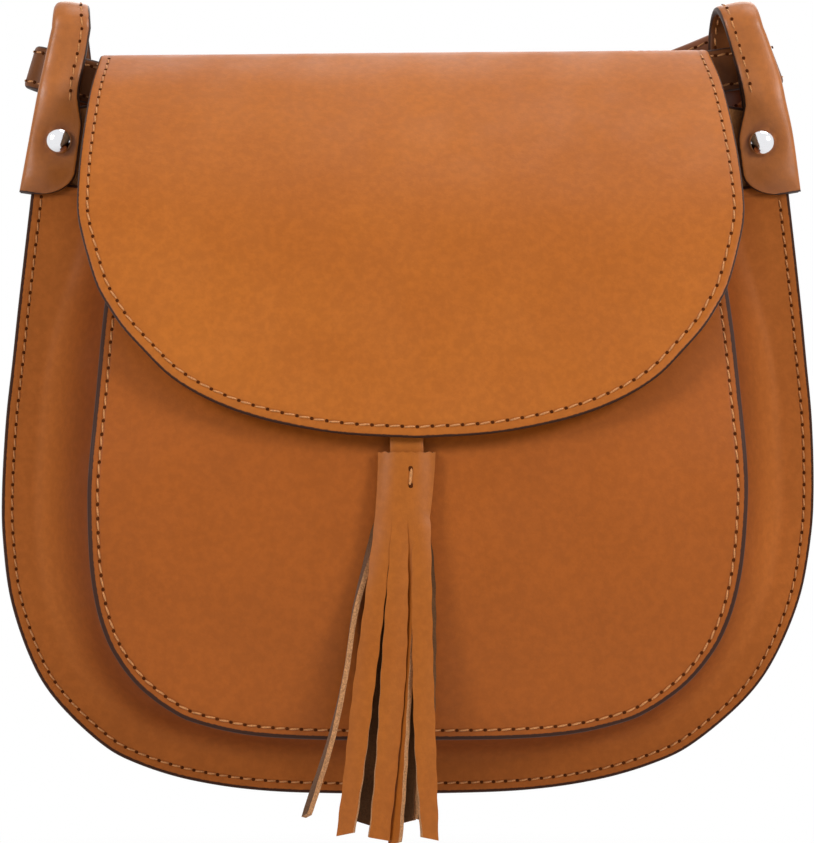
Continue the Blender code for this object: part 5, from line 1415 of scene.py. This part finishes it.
def leaf(name, strips, forward, curl, materials):
    """One leaf: a head slit into strips. Each strip's middle follows a curve and its width twists."""
    size = sizes()
    cells = 5
    top = head_top()
    head_rows = np.linspace(0.0, 1.0, 9)[:, None]
    bounds = np.concatenate([[0.0], np.cumsum([strip[0] for strip in strips])])
    bounds = bounds / bounds[-1]
    places = np.concatenate([np.linspace(a, b, cells + 1)[:-1] for a, b in zip(bounds, bounds[1:])])
    places = np.append(places, 1.0)[None, :]
    width = HEAD_WIDTHS[0] + (HEAD_WIDTHS[1] - HEAD_WIDTHS[0]) * head_rows
    drop = top + head_rows * HEAD_LENGTH + 0 * places
    side = width * (places - 0.5) - HEAD_DRIFT * head_rows ** 1.5
    roll = curl * np.abs(2 * (places - 0.5)) ** 2.6 * (1 - 0.35 * head_rows)
    depth = tassel_depth(drop) + forward - roll
    ragged = 0.25 * MM * np.sin(places * 41) * (head_rows < 0.01)
    points = [np.stack([side + TASSEL_SIDE, -depth, -(drop + ragged)], axis=-1).reshape(-1, 3)]
    index = np.arange(drop.size).reshape(drop.shape)
    faces = [quads(index)]
    base = drop.size
    fringe = size.tassel_length - HEAD_LENGTH
    for number, (_share, table) in enumerate(strips):
        share = np.linspace(0.0, 1.0, 47)[1:]
        rows = np.array(table, dtype=float)
        line = curve_through(rows, 16)
        fall = share * rows[-1, 0]
        middle, width, out, twist = (np.interp(fall, line[:, 0], line[:, k])[:, None]
                                     for k in (1, 2, 3, 4))
        sink = curl * (1 - eased(share / 0.3)[:, None]) * 0.65
        across = np.linspace(-1.0, 1.0, cells + 1)[None, :]
        start = np.abs((bounds[number] + bounds[number + 1]) - 1 + across * (bounds[number + 1]
                                                                              - bounds[number]))
        out = out * MM - sink * start ** 2.6
        middle, half, twist = middle * MM, width * MM / 2, np.radians(twist)
        ripple = 0.12 * MM * np.sin(share * 63 + number * 2.1)[:, None]
        reach = (half + ripple) * across
        hang = top + HEAD_LENGTH + fall[:, None] * fringe
        cup = 0.35 * MM * (1 - across ** 2) * np.sin(math.pi * share)[:, None]
        slope = 0.6 * MM * across * (share[:, None] > 0.999) * (1 if number % 2 else -1)
        x = middle + reach * np.cos(twist)
        y = tassel_depth(hang) + forward + out + reach * np.sin(twist) + cup
        strip = np.stack([x + TASSEL_SIDE, -y, -(hang + slope)], axis=-1)
        own = base + np.arange(strip.shape[0] * (cells + 1)).reshape(-1, cells + 1)
        whole = np.vstack([index[-1, number * cells:(number + 1) * cells + 1], own])
        faces.append(quads(whole))
        points.append(strip.reshape(-1, 3))
        base += own.size
    points = np.concatenate(points)
    faces = np.concatenate(faces)
    piece = add_mesh(name, points, faces, np.zeros(len(faces)), materials,
                     {"edge": np.full(len(points), FAR_FROM_EDGE)})
    wall = piece.modifiers.new("thickness", "SOLIDIFY")
    wall.thickness = size.tassel_leather
    wall.offset = 0.0
    wall.use_rim = True
    wall.material_offset_rim = 2
    wall.material_offset = 1
    return settled(piece)


def settled(piece):
    """The piece with its modifiers applied, its faces pointing out and its corners sharp."""
    ready = bpy.data.meshes.new_from_object(piece.evaluated_get(bpy.context.evaluated_depsgraph_get()))
    ready.name = piece.name
    piece.modifiers.clear()
    piece.data = ready
    smooth_mesh(ready, False)
    return piece


# Operators


def placed(piece, body, slot, *nodes):
    """A finished piece rides on its body and stands for its CAD nodes; its slot is not used."""
    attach(piece, body)
    if nodes:
        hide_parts(*nodes)
    return piece


class BAG_OT_back(bpy.types.Operator):
    """Make the back panel"""

    bl_idname = "bag.back"
    bl_label = "Back panel"

    def execute(self, context):
        paint = leather_finish("back_grain", colours().grain, colours().deep)
        piece = panel("back_leather", back_outline(), BACK_CENTRE, back_surface,
                      sizes().body_leather, [flesh_side(), paint, paint])
        placed(piece, "bag", "body_leather_inner", "back_panel")
        return {"FINISHED"}


class BAG_OT_gusset(bpy.types.Operator):
    """Make the gusset and the seam round the back"""

    bl_idname = "bag.gusset"
    bl_label = "Gusset"

    def execute(self, context):
        size = sizes()
        grid, edge = gusset_grid()
        side = colours().side
        paint = leather_finish("gusset_grain", side, rgba(side, 0.8), 1.1, True, 0.55, 0.56, 0.10)
        piece = gusset_shell(grid, edge, "gusset_leather", [paint, flesh_side(), paint])
        placed(piece, "bag", "body_leather", "gusset")
        line = seam_line(back_side(), size.seam_inset + REAR_COLUMNS[0], first=15 * MM)
        lift = size.body_leather / 2 + GAP + size.gusset_leather
        front = seam(lambda a, b: back_surface(a, b) * [1, 0, 1] - [0, lift, 0], line, OUTER_PITCH, 0.0)
        rear = seam(back_surface, line, OUTER_PITCH, 0.0)
        rear = (rear[0] + np.array([0.0, size.body_leather / 2, 0.0]), rear[1], -rear[2])
        outward = np.array([0.0, -1.0, 0.0])
        front = (front[0], front[1], np.tile(outward, (len(front[0]), 1)))
        rear = (rear[0], rear[1], np.tile(-outward, (len(rear[0]), 1)))
        sewing("outer_seam", [front, rear], OUTER_PITCH, "bag")
        return {"FINISHED"}


class BAG_OT_front(bpy.types.Operator):
    """Make the front panel and its seam"""

    bl_idname = "bag.front"
    bl_label = "Front panel"

    def execute(self, context):
        size = sizes()
        front = colours().front
        # Its colour carries painted shade, and its dark edge is 1.6 mm wide: real edge paint, widened
        # with painted shade for the gap beside the gusset
        paint = leather_finish("front_grain", front, rgba(front, 0.78), 1.6)
        piece = panel("front_leather", front_outline(), FRONT_CENTRE, front_surface,
                      size.body_leather, [paint, flesh_side(), paint])
        placed(piece, "bag", "body_leather", "front_panel")
        line = seam_line(front_side(), size.seam_inset, first=5 * MM)
        row = seam(front_surface, line, FRONT_PITCH, size.body_leather / 2)
        top = np.array([(-80 * MM, size.front_top + size.seam_inset),
                        (80 * MM, size.front_top + size.seam_inset)])
        edge = seam(front_surface, top, FRONT_PITCH, size.body_leather / 2)
        sewing("front_seam", [row, edge], FRONT_PITCH, "bag")
        return {"FINISHED"}


class BAG_OT_flap(bpy.types.Operator):
    """Make the flap, its lining and its seams"""

    bl_idname = "bag.flap"
    bl_label = "Flap"

    def execute(self, context):
        size = sizes()
        paint = body_leather()
        flap = panel("flap_leather", flap_outline(), FLAP_CENTRE, flap_surface(0.0),
                     size.body_leather, [paint, flesh_side(), paint], rings=34)
        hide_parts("flap")
        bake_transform(flap)
        below = size.body_leather / 2 + GAP + size.lining / 2
        suede = nap_finish("suede_lining", colours().suede)
        lining = panel("flap_suede", lining_outline(), FLAP_CENTRE, flap_surface(below),
                       size.lining, [suede, suede, suede], rings=30)
        placed(lining, "flap", "suede_lining", "flap_lining")
        line = seam_line(flap_side(), size.seam_inset, first=6 * MM) - FLAP_SET
        row = seam(flap_surface(0.0), line, FLAP_PITCH, size.body_leather / 2)
        under = size.body_leather / 2 + GAP + size.lining
        inner = seam(flap_surface(under), line, FLAP_PITCH, 0.0)
        sewing("flap_seam", [row, (inner[0], inner[1], -inner[2])], FLAP_PITCH, "flap")
        tail = np.array([(-82 * MM, -9 * MM), (82 * MM, -9 * MM)])
        sewing("fold_seam", [seam(flap_surface(0.0), tail, FOLD_PITCH, size.body_leather / 2)],
               FOLD_PITCH, "bag")
        return {"FINISHED"}


# Keepers: leather, rows from one edge to the other, and how far down the short strap they sit
KEEPER_LEATHER = 1.4 * MM
KEEPER_ROWS = np.array([-3.5, -3.43, -3.2, -2.9, -1.0, 1.0, 2.9, 3.2, 3.43, 3.5]) * MM
FIXED_KEEPER_DROP = 55.0 * MM
SLIDING_KEEPER_DROP = 40.0 * MM


class BAG_OT_straps(bpy.types.Operator):
    """Make both straps, their seams and the keepers"""

    bl_idname = "bag.straps"
    bl_label = "Straps"

    def execute(self, context):
        short = short_route()
        long = long_route(short)
        short.fold(LEFT_LEG_DEG - 180.0, bar_radius(), False)
        short.run(TURNED_BACK)
        paint = strap_leather()
        # The strap's inner face is made dark: painted shade inside the arches and behind the bag
        painted_shade_back = leather_finish("strap_back", rgba(colours().strap, 0.4), colours().hole, 0.8, False)
        skins = [paint, painted_shade_back, paint]
        tip = sizes().strap_width / 2
        rows = []
        for name, route, side, end, cad_node in (("short_strap", short, -1.0, 0.0, "strap_short"),
                                                 ("long_strap", long, 1.0, tip, "strap_long")):
            rivet = RIVET_ACROSS[side]
            placed(strap_shell(name, route, side, end, rivet, skins), "bag", "strap_leather", cad_node)
            placed(strap_shell(name + "_tongue", route, side, 0.0, rivet, [paint] * 3, True), "bag",
                   "strap_leather")
            first = FIRST_STITCH[side]
            rows.append(strap_seam(route, first, ALL_EDGES, side, side, UPRIGHT_INSET, True))
            last = route.knots[-1] - LAST_STITCH
            for edge in (1.0, -1.0):
                for upper in (True, False):
                    rows.append(strap_seam(route, ALL_EDGES, last, side, edge, BAND_INSET, upper))
        sewing("strap_seam", rows, STRAP_PITCH, "bag", "strap_leather")
        self.keeper("fixed_keeper", FIXED_KEEPER_DROP, short_route(), long, "bag", "keeper_fixed")
        self.keeper("sliding_keeper_loop", SLIDING_KEEPER_DROP, short_route(), long,
                    "sliding_keeper", "keeper_sliding")
        return {"FINISHED"}

    def keeper(self, name, drop, short, long, body, cad_node):
        """A leather loop: a rounded rectangle round both straps, as wide as it is high."""
        along, across = leg_axes()
        reach = (-drop - short.place[1]) / along[2]
        middle = np.array([short.place[0], (short.depth + long.depth) / 2, short.place[1]])
        middle = middle + along * reach
        leather = KEEPER_LEATHER
        half_width = sizes().strap_width / 2 + GAP + leather / 2
        half_depth = (long.depth - short.depth + sizes().strap_thickness) / 2 + GAP + leather / 2
        corner = leather
        turn = np.linspace(0.0, math.tau, 49)[:-1]
        aside = np.sign(np.cos(turn)) * (half_width - corner) + corner * np.cos(turn)
        out = np.sign(np.sin(turn)) * (half_depth - corner) + corner * np.sin(turn)
        grid = (middle + along * KEEPER_ROWS[:, None, None] + across * aside[None, :, None]
                + np.array([0.0, 1.0, 0.0]) * out[None, :, None])
        normal = unit(across * np.cos(turn)[:, None] + np.array([0.0, 1.0, 0.0]) * np.sin(turn)[:, None])
        edge = (KEEPER_ROWS[-1] - np.abs(KEEPER_ROWS))[:, None] + 0.0 * turn[None, :]
        half = (leather / 2 * rounded(edge, leather / 2))[..., None]
        paint = strap_leather()
        piece = shell_of(name, grid + normal * half, grid - normal * half, edge, [paint] * 3,
                         wrapped=True)
        placed(piece, body, "strap_leather", cad_node)


# Rivets: radius, height of the dome's rim, rise of the dome, drop, and place to the side
RIVET_RADIUS = 4.0 * MM
RIVET_RIM = 0.7 * MM
RIVET_DOME = 2.5 * MM
RIVET_DROP = 27.1 * MM
RIVET_PLACES = (("left", -107.1 * MM), ("right", 109.4 * MM))
# Radius of the prong, how far down the hole it goes through lies, and how far it leans there
PRONG = 0.9 * MM
PRONG_HOLE = 8.5 * MM
PRONG_LEAN = 1.3 * MM


class BAG_OT_metal(bpy.types.Operator):
    """Make the rivets and the buckle, and finish the snap"""

    bl_idname = "bag.metal"
    bl_label = "Metal"

    def execute(self, context):
        chrome = metal_finish("chrome", colours().chrome)
        size = sizes()
        front = size.body_leather / 2 + size.gusset_leather + 2 * GAP + TONGUE_LEAF + GAP / 2
        rear = -(size.body_leather / 2 + GAP + TONGUE_LEAF + GAP / 2)
        angle = np.linspace(0.0, math.pi / 2, 14)
        dome = np.column_stack([RIVET_RADIUS * np.cos(angle),
                                front + RIVET_RIM + RIVET_DOME * np.sin(angle)])
        profile = np.vstack([[(0.0, rear), (1.2 * MM, rear), (1.2 * MM, front), (3.6 * MM, front),
                              (3.9 * MM, front + 0.2 * MM)], dome])
        cap = np.array([(0.0, -1.5), (2.4, -1.5), (3.1, -1.25), (3.45, -0.8), (3.5, 0.0), (0.0, 0.0)])
        cap = cap * MM + np.array([0.0, rear])
        for side, place in RIVET_PLACES:
            centre = np.array([place, 0.0, -RIVET_DROP])
            forward = (0.0, -1.0, 0.0)
            placed(turned("rivet_dome_" + side, profile, centre, forward, [chrome]), "bag", "chrome",
                   "rivet_" + side)
            placed(turned("rivet_back_" + side, cap, centre, forward, [chrome]), "bag", "chrome",
                   "rivet_cap_" + side)
        self.buckle(chrome)
        brass = metal_finish("snap_brass", colours().brass, 0.2)
        steel = metal_finish("washer_steel", colours().chrome, 0.3)
        for name, finish in (("snap_cup", brass), ("snap_stud", brass),
                             ("snap_cup_washer", steel), ("snap_stud_washer", steel)):
            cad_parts[name].data.materials.clear()
            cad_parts[name].data.materials.append(finish)
        return {"FINISHED"}

    def buckle(self, chrome):
        """Heel-bar buckle: a rounded frame of rod, and a prong that turns on its bar."""
        along, across = leg_axes()
        rear = np.array([0.0, 1.0, 0.0])
        short = short_route()
        long = long_route(short)
        bar = np.array([short.place[0], short.depth - bar_radius(), short.place[1]])
        end = bar + along * BUCKLE_LENGTH
        end[1] = long.depth + sizes().strap_thickness / 2 + GAP + BUCKLE_ROD
        half = sizes().strap_width / 2 + BUCKLE_CLEAR + BUCKLE_ROD
        corner = BUCKLE_CORNER
        forth = unit(end - bar)
        length = np.linalg.norm(end - bar)
        corners = (((-1, corner), 270), ((-1, length - corner), 180), ((1, length - corner), 90),
                   ((1, corner), 0))
        outline = []
        for (sign, reach), start in corners:
            turn = np.radians(np.linspace(start, start - 90, 8))
            aside = sign * (half - corner) + corner * np.cos(turn)
            onward = reach + corner * np.sin(turn)
            outline.append(bar + across * aside[:, None] + forth * onward[:, None])
        frame_path = np.vstack(outline)
        placed(rod("buckle_ring", frame_path, np.cross(across, forth), BUCKLE_ROD, True, [chrome]),
               "bag", "chrome", "buckle_frame")
        eye = BUCKLE_ROD + GAP + PRONG
        tip = end + rear * eye + forth * BUCKLE_ROD / 2
        angle = np.radians(np.linspace(350.0, 70.0, 21))[:, None]
        ring = bar + eye * (np.cos(angle) * along + np.sin(angle) * rear)
        through = bar + along * PRONG_HOLE + rear * (long.depth - bar[1])
        proud = sizes().strap_thickness / 2 + PRONG
        before = through - along * PRONG_LEAN - rear * proud
        over = through + along * PRONG_LEAN + rear * proud
        path = np.vstack([ring, curve_through([ring[-1], before, through, over, tip], 6)[2:]])
        placed(rod("buckle_tongue", path, across, PRONG, False, [chrome]), "prong", "chrome",
               "buckle_prong")


class BAG_OT_tassel(bpy.types.Operator):
    """Make the tassel, its tab and its stitch"""

    bl_idname = "bag.tassel"
    bl_label = "Tassel"

    def execute(self, context):
        tan = rgba(colours().grain, 0.85)
        grain = leather_finish("tassel_grain", tan, colours().deep, 0.0, False)
        wrong = nap_finish("tassel_flesh", rgba(colours().flesh, 0.36))
        raw = raw_finish()
        spacing = leaf_to_tab()
        skins = [grain, wrong, raw]
        placed(leaf("tassel_front_leaf", FRONT_STRIPS, 2 * spacing, 2.6 * MM, skins), "tassel",
               "tassel_leather", "tassel_front")
        placed(leaf("tassel_back_leaf", BACK_STRIPS, 0.0, -0.45 * MM, [wrong, grain, raw]), "tassel",
               "tassel_leather", "tassel_back")
        self.tab(spacing, skins)
        self.stitch(spacing)
        return {"FINISHED"}

    def tab(self, spacing, skins):
        """The tab: a strip that follows the flap's leather and goes down into the head."""
        end, length = tab_end()
        at = np.linspace(TAB_START, length, 14)
        upper = flap_surface(tab_below())(np.full(len(at), TASSEL_SIDE), at)
        drops = head_top() + np.linspace(0.0, TAB_IN_HEAD, 8)
        lower = np.column_stack([np.full(len(drops), TASSEL_SIDE), -(tassel_depth(drops) + spacing),
                                 -drops])
        middle = np.vstack([upper, lower])
        left = travelled(middle)[-1] - travelled(middle)
        share = np.clip(1 - left / TAB_TAPER, 0.0, 1.0)
        half_width = TAB_HALF_WIDTH * (1 - 0.45 * share ** 2)
        across = np.array([-1.0, -0.97, -0.9, -0.5, 0.0, 0.5, 0.9, 0.97, 1.0])
        aside = half_width[:, None, None] * across[None, :, None] * np.array([1.0, 0.0, 0.0])
        grid = middle[:, None] + aside
        edge = half_width[:, None] * (1 - np.abs(across))
        normal = grid_normals(grid)
        half = (TAB_LEATHER / 2 * rounded(edge, TAB_LEATHER / 4))[..., None]
        tab = shell_of("tassel_strip", grid + normal * half, grid - normal * half,
                       edge + FAR_FROM_EDGE, skins)
        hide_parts("tassel_tab", "tassel_neck")
        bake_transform(tab)

    def stitch(self, spacing):
        """The single stitch on the head, with a dark bead at each of its ends as painted shade for its
        holes.
        """
        at = head_top() + STITCH_DROPS
        lift = 2 * spacing + sizes().tassel_leather / 2
        spots = np.column_stack([np.full(3, STITCH_SIDE), -(tassel_depth(at) + lift), -at])
        down = np.tile(unit(spots[2] - spots[0]), (3, 1))
        out = np.cross(np.array([1.0, 0.0, 0.0]), down)
        stitch = (spots[1:2], down[:1], out[:1])
        ends = (spots[::2], down[:2], out[:2])
        beads("tassel_stitch", [stitch], 5.0 * MM, 0.9 * MM, 0.9 * MM, 0.5 * MM, 6.0,
              thread_finish(), "tassel", "tassel_leather")
        beads("tassel_holes", [ends], 1.6 * MM, 1.3 * MM, 0.3 * MM, 0.0, 0.0, hole_finish(),
              "tassel", "tassel_leather")


def seen_rays(tree):
    """One for what the camera sees, straight, mirrored or through glass, and else zero."""
    rays = tree.nodes.new("ShaderNodeLightPath")
    seen = math_node(tree, "ADD", rays.outputs["Is Camera Ray"], rays.outputs["Is Glossy Ray"])
    seen = math_node(tree, "ADD", seen, rays.outputs["Is Transmission Ray"])
    return math_node(tree, "MINIMUM", seen, 1.0)


# Lamps: name, place and size in metres, and the setting that gives the power with its share.
# All of them face one place in the middle of the bag
LAMPS = (
    ("left", (-1.35, -1.25, 0.70), 0.6, "key", 0.92),
    ("right", (1.35, -1.20, 0.75), 0.6, "key", 1.08),
    ("top", (0.52, 0.0, 1.45), 1.0, "fill", 1.25),
    ("rear", (0.3, 1.5, 0.9), 1.2, "fill", 1.0),
)
LAMP_AIM = np.array([0.0, -0.04, -0.12])
FLOOR_RADIUS = 6.0


class BAG_OT_stage(bpy.types.Operator):
    """Make the floor, the lamps, the surroundings and the camera"""

    bl_idname = "bag.stage"
    bl_label = "Stage"

    def execute(self, context):
        stage = context.scene.leather_bag.stage
        radius = np.linspace(0.0, FLOOR_RADIUS, 25)[:, None, None]
        angle = np.linspace(0.0, math.tau, 97)[:-1]
        ring = np.stack([np.cos(angle), np.sin(angle), 0.0 * angle], axis=-1)[None]
        points = radius * ring + np.array([0.0, 0.0, stage.floor]) - FOLD
        faces = ring_quads(*points.shape[:2])[:, ::-1]
        floor = add_mesh("floor", points, faces, np.zeros(len(faces)), [self.floor_finish()])
        for name, place, size, setting, share in LAMPS:
            self.lamp(name, place, size, getattr(stage, setting) * share)
        world = bpy.data.worlds.new("surroundings")
        world.use_nodes = True
        tree = world.node_tree
        back = feed_all(tree, tree.nodes["Background"], Color=(1.0, 0.98, 0.96, 1.0),
                        Strength=stage.sky)
        white = node(tree, "ShaderNodeBackground", Color=(1.0, 1.0, 1.0, 1.0))
        mix_shaders(tree, seen_rays(tree), back, white, "World Output")
        context.scene.world = world
        context.scene.view_settings.view_transform = "Standard"
        self.camera(context)
        return {"FINISHED"}

    def floor_finish(self):
        """Pale floor that keeps the bag's shadow near it and turns white further away."""
        material, tree, shader, _fresh = new_finish("floor_white")
        tint = mixed(tree, ramp(tree, noise(tree, 3.0), 0.3, 0.7), (0.82, 0.82, 0.82, 1.0),
                     (0.86, 0.86, 0.86, 1.0))
        feed_all(tree, shader, Base_Color=tint, Roughness=0.9)
        place = tree.nodes.new("ShaderNodeTexCoord").outputs["Object"]
        far = tree.nodes.new("ShaderNodeVectorMath")
        far.operation = "LENGTH"
        tree.links.new(place, far.inputs[0])
        fade = ramp(tree, far.outputs["Value"], 0.36, 0.62)
        fade = math_node(tree, "MULTIPLY", fade, seen_rays(tree))
        mix_shaders(tree, fade, shader, tree.nodes.new("ShaderNodeEmission"), "Material Output")
        return material

    def lamp(self, name, place, size, power):
        """A square soft lamp that faces the middle of the bag."""
        light = bpy.data.lights.new(name, "AREA")
        light.size = size
        light.energy = power
        lamp = bpy.data.objects.new(name, light)
        lamp.location = place
        aim = LAMP_AIM - np.array(place)
        lamp.rotation_euler = Vector(aim).to_track_quat("-Z", "Y").to_euler()
        bpy.context.scene.collection.objects.link(lamp)

    def camera(self, context):
        """Camera at the photograph's angle: 1.3 metres off, a little to the left, level."""
        view = bpy.data.cameras.new("camera")
        view.sensor_width = 36.0
        middle = FOLD - np.array([0.0, 0.0, CAMERA_DROP])
        place = middle + np.array([CAMERA_ASIDE, -CAMERA_DISTANCE, 0.0])
        distance = float(np.linalg.norm(place - middle))
        view.lens = view.sensor_width * distance / (PIXEL * IMAGE_HEIGHT)
        view.clip_start = 0.05
        camera = bpy.data.objects.new("camera", view)
        camera.location = place
        camera.rotation_euler = Vector(middle - place).to_track_quat("-Z", "Y").to_euler()
        context.scene.collection.objects.link(camera)
        context.scene.camera = camera


class BAG_PT_panel(bpy.types.Panel):
    """The bag's sizes, colours and pieces"""

    bl_idname = "BAG_PT_panel"
    bl_label = "Leather Shoulder Bag"
    bl_space_type = "VIEW_3D"
    bl_region_type = "UI"
    bl_category = "Bag"

    def draw(self, context):
        layout = self.layout
        for group in ("sizes", "colours", "stage"):
            box = layout.box()
            values = getattr(context.scene.leather_bag, group)
            for name in values.__annotations__:
                box.prop(values, name)
        for operator in OPERATORS:
            layout.operator(operator.bl_idname)


OPERATORS = (BAG_OT_back, BAG_OT_gusset, BAG_OT_front, BAG_OT_flap, BAG_OT_straps, BAG_OT_metal,
             BAG_OT_tassel, BAG_OT_stage)
CLASSES = (BagSizes, BagColours, BagStage, BagSettings) + OPERATORS + (BAG_PT_panel,)


def register():
    """Register the classes and the bag's settings."""
    for item in CLASSES:
        bpy.utils.register_class(item)
    bpy.types.Scene.leather_bag = bpy.props.PointerProperty(type=BagSettings)


def unregister():
    """Remove the settings and the classes."""
    del bpy.types.Scene.leather_bag
    for item in reversed(CLASSES):
        bpy.utils.unregister_class(item)


def main():
    register()
    for name in ("back", "gusset", "front", "flap", "straps", "metal", "tassel", "stage"):
        getattr(bpy.ops.bag, name)()


if __name__ == "__main__":
    main()
